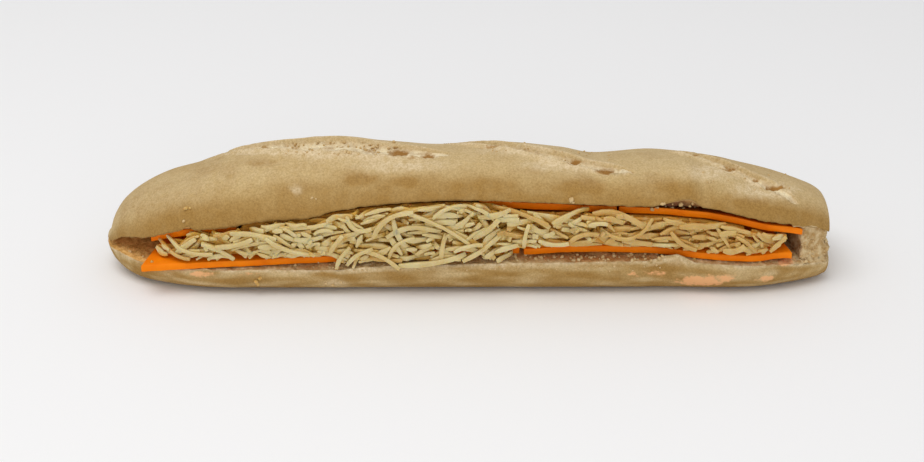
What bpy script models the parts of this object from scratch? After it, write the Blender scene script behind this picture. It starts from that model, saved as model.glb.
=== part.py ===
# A long part-baked panini, split along its front and opened on the hinge at its back.
# Three cheese slices lie on the lower half, three more lie under the lid,
# and a heap of grated cheese fills the space between them.
# X runs along the loaf, -Y is the open front and Z is up. Sizes are in millimetres until a mesh is made.

import math
import random

import bmesh
import bpy
from mathutils import Vector
from mathutils import noise

MM = 0.001
GAP = 0.35
SMOOTH_ANGLE = 45.0

# Plan of the loaf
LOAF_LEFT = -137.5
LOAF_RIGHT = 135.8
HALF_WIDTH = 31.0
LEFT_ROUND_START = -87.0
LEFT_TIP_MARGIN = 0.4
RIGHT_ROUND_START = 95.0
RIGHT_END_HALF_WIDTH = 17.0
END_ROUND_LENGTH = 3.0
END_ROUND_SHRINK = 0.45

# Heights along the loaf, as (place along X, height) knots of smooth curves
LID_EDGE = [
    (-137.5, 11.6), (-130, 17.1), (-124, 19.0), (-118, 20.6), (-106, 24.8), (-92, 26.6), (-70, 30.2),
    (-60, 30.6), (-50, 33.6), (-26, 36.9), (-5, 38.0), (30, 36.9), (58, 35.7), (82, 35.3), (94, 33.1),
    (105, 29.8), (119, 26.2), (128, 23.0), (135, 20.0),
]
LID_CRACK = [(-107, 0.0), (-103, 1.6), (-100.5, 0.0)]
LID_TEAR = [(65, 0.0), (79, 3.3), (84.5, 0.0)]
BASE_EDGE = [
    (-137.5, 10.0), (-131, 11.0), (-121, 10.2), (-85, 10.9), (-50, 11.0), (-36, 12.3),
    (0, 13.4), (40, 14.2), (70, 14.6), (94, 13.1), (116, 11.4), (135, 9.0),
]
CRUST_FLAP = [(62, 0.0), (75, 2.8), (83, 0.0)]
CRUST_LIP_WIDTH = 2.6
CREST = [
    (-137.5, 12.8), (-135, 19.0), (-131, 25.0), (-124, 30.2), (-114, 35.0), (-105, 37.4), (-96, 40.6),
    (-86, 44.0), (-70, 46.3), (-46, 47.6), (-34, 46.4), (-11, 45.3), (10, 46.3), (34, 44.0), (46, 42.0),
    (66, 43.5), (80, 42.6), (94, 40.4), (105, 37.3), (116, 34.6), (127, 31.0), (132, 28.2), (136, 22.0),
]
UNDERSIDE = [(-137.5, 8.0), (-134, 4.6), (-129, 1.6), (-122, 0.0), (128, 0.0), (136, 1.5)]
HINGE_RISE = 4.5
LID_SETBACK = 2.0

# Section of the bread
CREST_FULLNESS = 2.35
BASE_FULLNESS = 2.2
FRONT_CORNER = 11.0
BACK_CORNER = 14.0
CORNER_SHARE = 0.5
LEAST_DOME_RISE = 1.0
POCKET_SHARE = 1.19
POCKET_LEAN = 0.05
POCKET_BULGE = 1.0
LIP_SHARE = 0.2
FACE_SHARES = (0.35, 0.75)
WEB_START = 117.5
WEB_FULL = 123.0
WEB_DEPTH = 2.6
WEB_SHARE = 0.3
WEB_RAGGEDNESS = 0.9
WEB_SEED = 7
CRUST_LUMP = 0.35
CRUST_LUMP_SPACING = 17.0
STATION_COUNT = 58
END_CROWDING = 0.4
CREST_STEPS = 16
CORNER_STEPS = 4
POCKET_BACK_STEPS = 4

# Torn right end, where the crumb between the halves is set back from both crusts
TORN_LOW = 9.0
TORN_HIGH = 21.0
TORN_EASE = 3.0
TORN_SETBACK = 3.0
TORN_LID_SETBACK = 1.2

# Diagonal baker's scores: back left end, front right end, half width, depth, lip height
SCORES = [
    ((-99.0, 10.0), (-8.0, -12.0), 9.0, 3.2, 1.0),
    ((-11.0, 7.0), (60.0, -20.0), 5.2, 3.2, 1.1),
    ((72.5, 6.5), (121.0, -20.0), 5.0, 3.0, 0.9),
]
SCORE_END_BLUNTNESS = 0.6
SCORE_FLOOR_SHARE = 0.45
SCORE_WALL_SHARE = 1.05
SCORE_LIP_SHARE = 1.25
SCORE_LIP_SPREAD = 0.28
SCORE_CRAG = 0.9
SCORE_CRAG_SPACING = 5.0
CROWN_LOW = 0.3
CROWN_HIGH = 0.8

# Cheese slices
SLICE_THICKNESS = 2.6
SLICE_STEPS = 11
SLICE_FRONT_SHARE = 0.3
SLICE_MARGIN = 0.5
SLICE_DROOP = 0.12
LOWER_SLICE_BACK = 2.0
UPPER_SLICE_BACK = -3.0

# Lower slices: front edge in plan, back corners along X, lift of the slice as knots along X
LOWER_SLICES = {
    "lower_slice_left": (
        [(-121.0, -30.3), (-90.0, -29.8), (-46.5, -26.8)], (-112.0, -47.5), [(-121, 0.0), (-46, 0.4)]),
    "lower_slice_middle": (
        [(-45.3, -25.0), (-10.0, -26.0), (18.0, -25.0)], (-45.0, 18.0), [(-45, 0.2), (18, 0.2)]),
    "lower_slice_right": (
        [(19.5, -26.0), (45.0, -26.0), (64.0, -26.5), (85.0, -28.8), (100.0, -29.0), (118.5, -25.4)],
        (20.0, 110.5), [(20, 0.2), (40, 0.9), (66, 0.4), (90, 0.0), (104, 0.2), (118, 1.2)]),
}

# Upper slices: front edge in plan, back corners along X, drop below the lid as knots along X
UPPER_SLICES = {
    "upper_slice_left": (
        [(-118.5, -19.5), (-106.0, -23.5), (-86.0, -24.0)], (-110.0, -86.0), [(-118, 0.0), (-86, 0.2)]),
    "upper_slice_middle": (
        [(3.0, -23.5), (25.0, -24.5), (53.3, -24.5)], (3.0, 53.3), [(3, 0.2), (50, 0.6)]),
    "upper_slice_right": (
        [(54.0, -25.0), (76.0, -26.5), (108.0, -26.5), (122.2, -22.8)], (55.0, 112.0),
        [(54, 0.4), (70, 0.6), (84, 1.6), (104, 1.0), (120, 0.9)]),
}

# Core of the grated heap
CORE_SETBACK = 6.2
CORE_BACK = -8.0
CORE_CLEARANCE = 0.3
CORE_MARGIN = 2.5
CORE_STEPS = 24
CORE_LEFT = -101.0
CORE_RIGHT = 98.0

# Grated strips
SHRED_WIDTH = 2.9
SHRED_THICKNESS = 1.9
SHRED_SINK = 0.55
SHRED_STIFFNESS = 0.75
SHRED_LIFT = 1.6
SHRED_TURN = 0.65
SHRED_BOW = 0.1
SHRED_ROLL = 0.8
SHRED_ROLL_START = 0.3
SHRED_LENGTHS = (10.0, 29.0, 18.0)
SHRED_LEAST_LENGTH = 8.0
SHRED_END_SIZES = (0.7, 0.95)
SHRED_CLEARANCE = 0.45
SHRED_REACH = 1.2
SHRED_STEP = 6.0
SHRED_COUNT = 96
SHRED_SPREAD = 0.618
SHRED_SHIFT = 3.0
SHRED_TRIES = 12
SHRED_EASE = 0.88
SHRED_SEED = 41
PILE_CELL = 1.0
HEAP_LEFT = -114.0
HEAP_RIGHT = 111.0
SPILL_LEFT = -50.0
SPILL_RIGHT = 17.0
SPILL_DROP = 1.2

# Strips that stand out: place along X, height share, length, angle in degrees, bow
MAIN_REACH = 3.6
MAIN_ROLL = 0.4
MAIN_END_SIZE = 0.85
MAIN_NUDGE = 0.5
MAIN_EASE = 0.93
MAIN_SHREDS = [
    (-102, 0.7, 18, -12, -1.0), (-108, 0.45, 15, -20, -1.0), (-79, 0.85, 20, -6, 0.8),
    (-67, 0.3, 18, -26, -1.5), (-29, 0.7, 19, 34, 2.5), (-12, 0.6, 28, -27, 1.5), (-8, 0.9, 14, 22, 2.0),
    (7, 0.6, 17, 44, -1.0), (-21, 0.5, 21, 6, 3.5), (-10, 0.3, 11, 78, 0.5), (18, 0.85, 22, -19, 1.2),
    (3, 0.2, 18, 36, -0.6), (36, 0.8, 14, 14, 1.5), (55, 0.8, 22, -19, 3.0), (57, 0.4, 19, 12, -5.0),
    (88, 0.55, 23, 8, -5.0), (77, 0.3, 13, -40, -1.2), (106, 0.5, 13, 4, 0.5),
    (-33, 0.08, 16, -26, 1.5), (-14, 0.05, 25, 9, -1.0), (-47, 0.1, 11, 60, 1.0), (-41, 0.1, 13, 36, 1.5),
]

# Colours and roughness
CRUST_LOOK = ((0.52, 0.38, 0.2), 0.85)
ORANGE_LOOK = ((0.62, 0.2, 0.01), 0.42)
WHITE_LOOK = ((0.66, 0.56, 0.28), 0.5)


def slope_at(knots, i):
    """Slope of the smooth curve at a knot, kept from overshooting its neighbours."""
    if i == 0 or i == len(knots) - 1:
        return 0.0
    before = (knots[i][1] - knots[i - 1][1]) / (knots[i][0] - knots[i - 1][0])
    after = (knots[i + 1][1] - knots[i][1]) / (knots[i + 1][0] - knots[i][0])
    if before * after <= 0.0:
        return 0.0
    return 2.0 * before * after / (before + after)


def curve(knots, x):
    """Value at x of the smooth curve through the knots."""
    if x <= knots[0][0]:
        return knots[0][1]
    if x >= knots[-1][0]:
        return knots[-1][1]
    i = 0
    while knots[i + 1][0] < x:
        i += 1
    run = knots[i + 1][0] - knots[i][0]
    t = (x - knots[i][0]) / run
    start = (1.0 + 2.0 * t) * (1.0 - t) ** 2 * knots[i][1]
    start += t * (1.0 - t) ** 2 * run * slope_at(knots, i)
    end = t * t * (3.0 - 2.0 * t) * knots[i + 1][1]
    end += t * t * (t - 1.0) * run * slope_at(knots, i + 1)
    return start + end


def smooth_step(low, high, value):
    t = min(1.0, max(0.0, (value - low) / (high - low)))
    return t * t * (3.0 - 2.0 * t)


def mix(a, b, t):
    return a + (b - a) * t


def half_width(x):
    """Half width of the loaf in plan: a rounded left tip and a blunt right end."""
    if x < LEFT_ROUND_START:
        reach = (LEFT_ROUND_START - x) / (LEFT_ROUND_START - LOAF_LEFT + LEFT_TIP_MARGIN)
        return HALF_WIDTH * math.sqrt(1.0 - reach * reach)
    if x > RIGHT_ROUND_START:
        reach = (x - RIGHT_ROUND_START) / (LOAF_RIGHT - RIGHT_ROUND_START)
        return mix(HALF_WIDTH, RIGHT_END_HALF_WIDTH, reach * reach)
    return HALF_WIDTH


def lid_front(x):
    return -half_width(x) * (1.0 - LID_SETBACK / HALF_WIDTH)


def lid_edge(x):
    """Height of the lid's front edge with the crack and the tear in its crust."""
    return curve(LID_EDGE, x) + curve(LID_CRACK, x) + curve(LID_TEAR, x)


def hinge_height(x):
    rise = HINGE_RISE * half_width(x) / HALF_WIDTH
    return min(curve(BASE_EDGE, x) + rise, curve(LID_EDGE, x))


def lid_under(x, y):
    """Height of the lid's cut face, a plane from its front edge down to the hinge."""
    front = lid_front(x)
    t = max(0.0, (y - front) / (half_width(x) - front))
    return mix(curve(LID_EDGE, x), hinge_height(x), t)


def base_top(x, y):
    """Height of the lower half's cut face."""
    width = half_width(x)
    t = max(0.0, (y + width) / (2.0 * width))
    return mix(curve(BASE_EDGE, x), hinge_height(x), t)


def score_relief(x, y):
    """Depth of the opened scores and height of their lips on top of the loaf."""
    relief = 0.0
    for (start_x, start_y), (end_x, end_y), reach, depth, lip in SCORES:
        run = math.hypot(end_x - start_x, end_y - start_y)
        along_x = (end_x - start_x) / run
        along_y = (end_y - start_y) / run
        t = ((x - start_x) * along_x + (y - start_y) * along_y) / run
        if t <= 0.0 or t >= 1.0:
            continue
        side = abs((y - start_y) * along_x - (x - start_x) * along_y)
        opening = math.sin(math.pi * t) ** SCORE_END_BLUNTNESS
        share = side / (reach * opening)
        inside = 1.0 - smooth_step(SCORE_FLOOR_SHARE, SCORE_WALL_SHARE, share)
        relief -= depth * inside * opening
        relief += lip * math.exp(-((share - SCORE_LIP_SHARE) / SCORE_LIP_SPREAD) ** 2)
        crag = noise.noise(Vector((x, y, 0.0)) / SCORE_CRAG_SPACING)
        relief += SCORE_CRAG * crag * inside
    return relief


def crust_lump(x, y, z):
    place = Vector((x, y, z)) / CRUST_LUMP_SPACING
    return CRUST_LUMP * noise.noise(place)


def quarter(t, fullness):
    """Point on a quarter of a rounded square, from (1, 0) at t = 0 to (0, 1) at t = 1."""
    angle = t * math.pi / 2.0
    return math.cos(angle) ** (2.0 / fullness), math.sin(angle) ** (2.0 / fullness)


def base_outline(x):
    """From the lower half's front edge, round the underside, to the hinge at the back."""
    width = half_width(x)
    low = curve(UNDERSIDE, x)
    front_corner = min(FRONT_CORNER, CORNER_SHARE * width)
    back_corner = min(BACK_CORNER, CORNER_SHARE * width)
    edge = curve(BASE_EDGE, x) + curve(CRUST_FLAP, x)
    hinge = hinge_height(x)
    points = []
    for step in range(CORNER_STEPS + 1):
        across, down = quarter(step / CORNER_STEPS, BASE_FULLNESS)
        y = -width + front_corner * (1.0 - across)
        points.append((y, edge - (edge - low) * down))
    for step in range(CORNER_STEPS, 0, -1):
        across, down = quarter(step / CORNER_STEPS, BASE_FULLNESS)
        y = width - back_corner * (1.0 - across)
        points.append((y, hinge - (hinge - low) * down))
    return points


def lid_outline(x):
    """From the hinge at the back, over the crest, to the lid's front edge."""
    back = Vector((half_width(x), hinge_height(x)))
    front = Vector((lid_front(x), lid_edge(x)))
    middle = (back + front) / 2.0
    half_chord = (back - front) / 2.0
    outward = Vector((-half_chord.y, half_chord.x)).normalized()
    rise = max(LEAST_DOME_RISE, (curve(CREST, x) - middle.y) / outward.y)
    points = []
    for step in range(CREST_STEPS + 1):
        turn = math.pi * step / CREST_STEPS
        across = math.copysign(abs(math.cos(turn)) ** (2.0 / CREST_FULLNESS), math.cos(turn))
        up = math.sin(turn) ** (2.0 / CREST_FULLNESS) if 0 < step < CREST_STEPS else 0.0
        spot = middle + half_chord * across + outward * (rise * up)
        weight = smooth_step(CROWN_LOW, CROWN_HIGH, up)
        z = spot.y + weight * score_relief(x, spot.x) + up * crust_lump(x, spot.x, spot.y)
        points.append((spot.x, z))
    return points


def pocket_outline(x, rng):
    """From the lid's front edge, back along its cut face, down, and forward to the lower half's edge."""
    width = half_width(x)
    opened = 1.0 - smooth_step(WEB_START, WEB_FULL, x)
    depth = mix(min(WEB_DEPTH, WEB_SHARE * width), POCKET_SHARE * width, opened)
    lid_y = lid_front(x)
    lid_back = lid_y + depth * (1.0 - POCKET_LEAN * opened)
    base_back = -width + depth
    lip = min(CRUST_LIP_WIDTH, LIP_SHARE * depth)
    points = [(lid_y + lip, lid_under(x, lid_y + lip))]
    for share in FACE_SHARES:
        y = mix(lid_y, lid_back, share)
        points.append((y, lid_under(x, y)))
    top = lid_under(x, lid_back)
    bottom = base_top(x, base_back)
    for step in range(POCKET_BACK_STEPS + 1):
        t = step / POCKET_BACK_STEPS
        bulge = POCKET_BULGE + WEB_RAGGEDNESS * (1.0 - opened) * rng.uniform(-1.0, 1.0)
        y = mix(lid_back, base_back, t) + bulge * math.sin(math.pi * t)
        points.append((y, mix(top, bottom, t)))
    for share in reversed(FACE_SHARES):
        y = mix(-width, base_back, share)
        points.append((y, base_top(x, y)))
    points.append((lip - width, base_top(x, lip - width)))
    return points


def bread_section(x, rng):
    """Closed outline of the bread at x, drawn small at the very end of the blunt right side."""
    points = base_outline(x) + lid_outline(x) + pocket_outline(x, rng)
    into_end = max(0.0, x - (LOAF_RIGHT - END_ROUND_LENGTH)) / END_ROUND_LENGTH
    scale = 1.0 - END_ROUND_SHRINK * into_end * into_end
    middle_z = (curve(UNDERSIDE, x) + curve(CREST, x)) / 2.0
    ring = []
    for y, z in points:
        level = middle_z + (z - middle_z) * scale
        ring.append(Vector((x - into_end * end_setback(level), y * scale, level)))
    return ring


def end_setback(z):
    """How far the torn right end lies behind the tip of the lower half at a height."""
    lid = smooth_step(TORN_HIGH - TORN_EASE, TORN_HIGH, z)
    torn = smooth_step(TORN_LOW - TORN_EASE, TORN_LOW, z) * (1.0 - lid)
    return TORN_SETBACK * torn + TORN_LID_SETBACK * lid


def stations(left, right, count, crowding):
    """Places along X, closer together towards both ends."""
    places = []
    for step in range(count):
        t = step / (count - 1)
        eased = (1.0 - math.cos(math.pi * t)) / 2.0
        places.append(mix(left, right, mix(t, eased, crowding)))
    return places


def loft(name, rings, material):
    """One closed mesh through rings of equal length, with both ends filled."""
    mesh = bmesh.new()
    loops = [[mesh.verts.new(point * MM) for point in ring] for ring in rings]
    size = len(rings[0])
    for near, far in zip(loops, loops[1:]):
        for i in range(size):
            j = (i + 1) % size
            mesh.faces.new((near[i], near[j], far[j], far[i]))
    mesh.faces.new(loops[0])
    mesh.faces.new(list(reversed(loops[-1])))
    bmesh.ops.recalc_face_normals(mesh, faces=mesh.faces[:])
    bmesh.ops.triangulate(mesh, faces=mesh.faces[:], quad_method="BEAUTY", ngon_method="EAR_CLIP")
    data = bpy.data.meshes.new(name)
    mesh.to_mesh(data)
    mesh.free()
    data.materials.append(material)
    piece = bpy.data.objects.new(name, data)
    bpy.context.scene.collection.objects.link(piece)
    return piece


def make_material(name, look):
    colour, roughness = look
    material = bpy.data.materials.new(name)
    material.use_nodes = True
    shader = material.node_tree.nodes["Principled BSDF"]
    shader.inputs["Base Color"].default_value = (*colour, 1.0)
    shader.inputs["Roughness"].default_value = roughness
    shader.inputs["Metallic"].default_value = 0.0
    return material


def make_bread(material):
    rng = random.Random(WEB_SEED)
    rings = [bread_section(x, rng) for x in stations(LOAF_LEFT, LOAF_RIGHT, STATION_COUNT, END_CROWDING)]
    piece = loft("bread", rings, material)
    piece.data.shade_smooth()
    piece.data.set_sharp_from_angle(angle=math.radians(SMOOTH_ANGLE))
    return piece


def make_slice(name, material, front, back, back_y, height_at):
    """A slab of even thickness from a wavy front edge in plan to a straight back edge."""
    rings = []
    for step in range(SLICE_STEPS):
        t = step / (SLICE_STEPS - 1)
        front_x = mix(front[0][0], front[-1][0], t)
        back_x = mix(back[0], back[1], t)
        front_y = curve(front, front_x)
        corners = []
        for share in (0.0, SLICE_FRONT_SHARE, 1.0):
            x = mix(front_x, back_x, share)
            y = mix(front_y, back_y, share)
            corners.append(Vector((x, y, height_at(x, y))))
        lift = Vector((0.0, 0.0, SLICE_THICKNESS))
        rings.append(corners + [corner + lift for corner in reversed(corners)])
    return loft(name, rings, material)


def lower_slice_height(x, y, lift):
    """Underside of a lower slice, which droops a little where it overhangs the loaf's tip."""
    overhang = max(0.0, -half_width(x) - y)
    return base_top(x, y) + GAP + curve(lift, x) - SLICE_DROOP * overhang


def upper_slice_height(x, y, drop):
    return lid_under(x, y) - GAP - curve(drop, x) - SLICE_THICKNESS


def make_slices(material):
    pieces = []
    for name, (front, back, lift) in LOWER_SLICES.items():
        pieces.append(make_slice(name, material, front, back, LOWER_SLICE_BACK,
                                 lambda x, y, lift=lift: lower_slice_height(x, y, lift)))
    for name, (front, back, drop) in UPPER_SLICES.items():
        pieces.append(make_slice(name, material, front, back, UPPER_SLICE_BACK,
                                 lambda x, y, drop=drop: upper_slice_height(x, y, drop)))
    return pieces


def in_plan(front, x, y):
    """True where a place is over a slice or within a gap of its outline."""
    beside = front[0][0] - SLICE_MARGIN < x < front[-1][0] + SLICE_MARGIN
    return beside and y > curve(front, x) - SLICE_MARGIN


def heap_floor(x, y):
    """Lowest height that the grated cheese may reach at a place inside the loaf."""
    height = base_top(x, y) + GAP
    if y < CRUST_LIP_WIDTH + GAP - half_width(x):
        height += curve(CRUST_FLAP, x)
    for front, back, lift in LOWER_SLICES.values():
        if in_plan(front, x, y):
            height = max(height, lower_slice_height(x, y, lift) + SLICE_THICKNESS + GAP)
    return height


def heap_ceiling(x, y):
    """Greatest height that the grated cheese may reach under the lid."""
    height = lid_under(x, y) - GAP
    for front, back, drop in UPPER_SLICES.values():
        if in_plan(front, x, y):
            height = min(height, upper_slice_height(x, y, drop) - GAP)
    return height


def slice_front(x):
    """Distance in front of the loaf's middle that the lower slices reach."""
    reach = 0.0
    for front, back, lift in LOWER_SLICES.values():
        if front[0][0] <= x <= front[-1][0]:
            reach = max(reach, -curve(front, x))
    return reach


def core_front(x):
    """Distance in front of the loaf's middle that the heap's core reaches."""
    return half_width(x) - CORE_SETBACK


def make_core(material):
    """The heap's core, kept clear of the slices' ends and edges between its own rings too."""
    spacing = (CORE_RIGHT - CORE_LEFT) / (CORE_STEPS - 1)
    rings = []
    for step in range(CORE_STEPS):
        x = CORE_LEFT + step * spacing
        columns = [mix(-core_front(x), CORE_BACK, share) for share in (0.0, 0.5, 1.0)]
        beside = (x - spacing, x, x + spacing)
        ring = []
        for y in columns:
            floor = max(heap_floor(spot, y + CORE_MARGIN) for spot in beside)
            ring.append(Vector((x, y, floor + CORE_CLEARANCE)))
        for y in reversed(columns):
            ceiling = min(heap_ceiling(spot, y + CORE_MARGIN) for spot in beside)
            ring.append(Vector((x, y, ceiling - CORE_CLEARANCE)))
        rings.append(ring)
    return loft("grated_cheese", rings, material)


class Pile:
    """How far forward the heap stands at each place of its front, seen square on."""

    def __init__(self):
        self.depth = {}

    def cell(self, x, z):
        return round(x / PILE_CELL), round(z / PILE_CELL)

    def at(self, x, z):
        key = self.cell(x, z)
        if key not in self.depth:
            self.depth[key] = self.bare(x, z)
        return self.depth[key]

    def bare(self, x, z):
        """Depth before any strip lies there: the core, a slice's edge or the loaf's edge."""
        reach = core_front(x)
        if z < heap_floor(x, -reach) + SHRED_WIDTH / 2.0:
            reach = max(reach, slice_front(x) + SLICE_MARGIN + SHRED_SINK)
        if z < curve(BASE_EDGE, x) + SHRED_WIDTH / 2.0:
            reach = max(reach, half_width(x) + GAP + SHRED_SINK)
        return reach

    def cover(self, x, z, depth):
        reach = SHRED_WIDTH / 2.0
        steps = round(reach / PILE_CELL)
        for i in range(-steps, steps + 1):
            for j in range(-steps, steps + 1):
                spot_x = x + i * PILE_CELL
                spot_z = z + j * PILE_CELL
                key = self.cell(spot_x, spot_z)
                self.depth[key] = max(self.at(spot_x, spot_z), depth)


def shred_spots(x, z, length, angle, bow):
    """Centre line of a shred on the heap's front: an arc of the given length, angle and bow."""
    count = max(4, round(length / SHRED_STEP) + 1)
    along = Vector((math.cos(angle), math.sin(angle)))
    across = Vector((-along.y, along.x))
    spots = []
    for step in range(count):
        t = step / (count - 1) - 0.5
        spots.append(Vector((x, z)) + along * (t * length) + across * (bow * (0.5 - 4.0 * t * t)))
    return spots


def resting_depths(spots, pile, lift):
    """Depth of a stiff strip that bridges hollows, bends a little into them and lifts at one end."""
    support = [pile.at(spot.x, spot.y) for spot in spots]
    depths = []
    for i in range(len(support)):
        bridge = support[i]
        for before in range(i):
            for after in range(i + 1, len(support)):
                share = (i - before) / (after - before)
                bridge = max(bridge, mix(support[before], support[after], share))
        along = i / (len(support) - 1) if lift > 0.0 else 1.0 - i / (len(support) - 1)
        depths.append(mix(support[i], bridge, SHRED_STIFFNESS) + abs(lift) * along * along)
    return depths


def shred_rings(spots, depths, roll, taper):
    """Four-sided rings of a strip that lies on the heap with its flat side to the front."""
    centres = []
    for spot, depth in zip(spots, depths):
        centres.append(Vector((spot.x, -(depth + SHRED_THICKNESS / 2.0 - SHRED_SINK), spot.y)))
    rings = []
    for i, centre in enumerate(centres):
        ahead = centres[min(i + 1, len(centres) - 1)]
        behind = centres[max(i - 1, 0)]
        tangent = (ahead - behind).normalized()
        t = i / (len(centres) - 1)
        turn = roll * (t - SHRED_ROLL_START)
        outward = Vector((0.0, -1.0, 0.0))
        side = tangent.cross(outward).normalized()
        outward = side.cross(tangent).normalized()
        turned_side = side * math.cos(turn) + outward * math.sin(turn)
        turned_out = outward * math.cos(turn) - side * math.sin(turn)
        size = mix(1.0, taper, abs(2.0 * t - 1.0) ** 3)
        half_side = turned_side * (SHRED_WIDTH / 2.0 * size)
        half_out = turned_out * (SHRED_THICKNESS / 2.0 * size)
        rings.append([centre - half_side - half_out, centre + half_side - half_out,
                      centre + half_side + half_out, centre - half_side + half_out])
    return rings


def is_clear(corner, most):
    """True where a strip's corner is clear of bread and slices and not too far in front of them."""
    before_crust = -half_width(corner.x) - corner.y
    if before_crust > most:
        return False
    if before_crust < GAP and corner.z < heap_floor(corner.x, corner.y) + SHRED_CLEARANCE:
        return False
    spilled = SPILL_LEFT < corner.x < SPILL_RIGHT
    if corner.z < curve(BASE_EDGE, corner.x) - (SPILL_DROP if spilled else 0.0):
        return False
    return corner.z < heap_ceiling(corner.x, max(corner.y, lid_front(corner.x))) - SHRED_CLEARANCE


def fits(rings, most):
    """True where a strip is clear at its rings and between them."""
    for near, far in zip(rings, rings[1:]):
        for start, end in zip(near, far):
            for share in (0.0, 0.25, 0.5, 0.75, 1.0):
                if not is_clear(start.lerp(end, share), most):
                    return False
    return True


def place_shred(pile, x, z, length, angle, bow, lift, roll, taper, most):
    """Lays one strip on the heap and returns its rings, or nothing where it isn't clear."""
    spots = shred_spots(x, z, length, angle, bow)
    depths = resting_depths(spots, pile, lift)
    rings = shred_rings(spots, depths, roll, taper)
    if not fits(rings, most):
        return None
    for (a, depth_a), (b, depth_b) in zip(zip(spots, depths), zip(spots[1:], depths[1:])):
        steps = max(1, round((b - a).length / PILE_CELL))
        for step in range(steps + 1):
            t = step / steps
            spot = a.lerp(b, t)
            pile.cover(spot.x, spot.y, mix(depth_a, depth_b, t) + SHRED_THICKNESS - SHRED_SINK)
    return rings


def height_limits(x):
    """Lowest and greatest height for the middle of a strip at the heap's front."""
    front = -core_front(x) - SHRED_THICKNESS
    low = heap_floor(x, front) + SHRED_WIDTH / 2.0
    if SPILL_LEFT < x < SPILL_RIGHT:
        low = base_top(x, front) + SHRED_WIDTH / 2.0
    return low, heap_ceiling(x, front) - SHRED_WIDTH / 2.0


def random_shred(rng, pile, share):
    """One strip of a seeded draw, turned flatter and shortened until it is clear."""
    x = mix(HEAP_LEFT, HEAP_RIGHT, share) + rng.uniform(-SHRED_SHIFT, SHRED_SHIFT)
    low, high = height_limits(x)
    z = mix(low, high, rng.random())
    length = rng.triangular(*SHRED_LENGTHS)
    angle = rng.gauss(0.0, SHRED_TURN)
    bow = rng.gauss(0.0, SHRED_BOW)
    lift = rng.uniform(-SHRED_LIFT, SHRED_LIFT)
    roll = rng.uniform(-SHRED_ROLL, SHRED_ROLL)
    taper = rng.uniform(*SHRED_END_SIZES)
    for attempt in range(SHRED_TRIES):
        ease = SHRED_EASE ** attempt
        size = max(SHRED_LEAST_LENGTH, length * math.sqrt(ease))
        rings = place_shred(pile, x, z, size, angle * ease, bow * size, lift * ease, roll * ease, taper,
                            SHRED_REACH)
        if rings:
            return rings
    return None


def main_shred(rng, pile, x, share, length, angle, bow):
    """One of the strips that stand out, moved up or down and turned flatter until it is clear."""
    low, high = height_limits(x)
    roll = rng.uniform(-MAIN_ROLL, MAIN_ROLL)
    for attempt in range(SHRED_TRIES):
        shift = MAIN_NUDGE * ((attempt + 1) // 2) * (1 if attempt % 2 else -1)
        z = mix(low, high, share) + shift
        turn = math.radians(angle) * MAIN_EASE ** attempt
        rings = place_shred(pile, x, z, length, turn, bow, 0.0, roll, MAIN_END_SIZE, MAIN_REACH)
        if rings:
            return rings
    return None


def join_pieces(core, strips):
    """Fuses the strips onto the core with one union, then removes them."""
    group = bpy.data.collections.new("shreds")
    bpy.context.scene.collection.children.link(group)
    for strip in strips:
        bpy.context.scene.collection.objects.unlink(strip)
        group.objects.link(strip)
    union = core.modifiers.new("fuse_shreds", "BOOLEAN")
    union.operation = "UNION"
    union.operand_type = "COLLECTION"
    union.collection = group
    union.solver = "EXACT"
    graph = bpy.context.evaluated_depsgraph_get()
    fused = bpy.data.meshes.new_from_object(core.evaluated_get(graph))
    core.modifiers.clear()
    core.data = fused
    for strip in strips:
        bpy.data.objects.remove(strip)
    bpy.data.collections.remove(group)


def keep_largest_shell(piece):
    """Drops loose scraps and the inner walls of sealed hollows."""
    mesh = bmesh.new()
    mesh.from_mesh(piece.data)
    bmesh.ops.triangulate(mesh, faces=mesh.faces[:])
    seen = set()
    shells = []
    for first in mesh.faces:
        if first in seen:
            continue
        seen.add(first)
        shell = [first]
        for face in shell:
            for edge in face.edges:
                for other in edge.link_faces:
                    if other not in seen:
                        seen.add(other)
                        shell.append(other)
        shells.append(shell)
    largest = max(shells, key=len)
    scraps = [face for shell in shells if shell is not largest for face in shell]
    bmesh.ops.delete(mesh, geom=scraps, context="FACES")
    mesh.to_mesh(piece.data)
    mesh.free()


def make_heap(material):
    rng = random.Random(SHRED_SEED)
    pile = Pile()
    core = make_core(material)
    strips = []
    for i in range(SHRED_COUNT):
        strips.append(random_shred(rng, pile, (i * SHRED_SPREAD) % 1.0))
    for main in MAIN_SHREDS:
        strips.append(main_shred(rng, pile, *main))
    pieces = []
    for rings in strips:
        if rings:
            pieces.append(loft("shred", rings, material))
    join_pieces(core, pieces)
    keep_largest_shell(core)
    return core


def centre_on_footprint(pieces):
    """Puts the origin at the middle of the whole piece's footprint, at its lowest point."""
    corners = [vertex.co for piece in pieces for vertex in piece.data.vertices]
    low = Vector([min(corner[axis] for corner in corners) for axis in range(3)])
    high = Vector([max(corner[axis] for corner in corners) for axis in range(3)])
    shift = Vector(((low.x + high.x) / 2.0, (low.y + high.y) / 2.0, low.z))
    for piece in pieces:
        for vertex in piece.data.vertices:
            vertex.co -= shift
        piece.data.update()


def main():
    for thing in list(bpy.data.objects):
        bpy.data.objects.remove(thing)
    crust = make_material("pale_crust", CRUST_LOOK)
    orange = make_material("orange_cheese", ORANGE_LOOK)
    white = make_material("grated_white_cheese", WHITE_LOOK)
    pieces = [make_bread(crust)]
    pieces += make_slices(orange)
    pieces.append(make_heap(white))
    centre_on_footprint(pieces)


main()
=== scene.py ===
import math
import random

import bpy
import numpy as np
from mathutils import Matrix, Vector, noise
from mathutils.bvhtree import BVHTree


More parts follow.
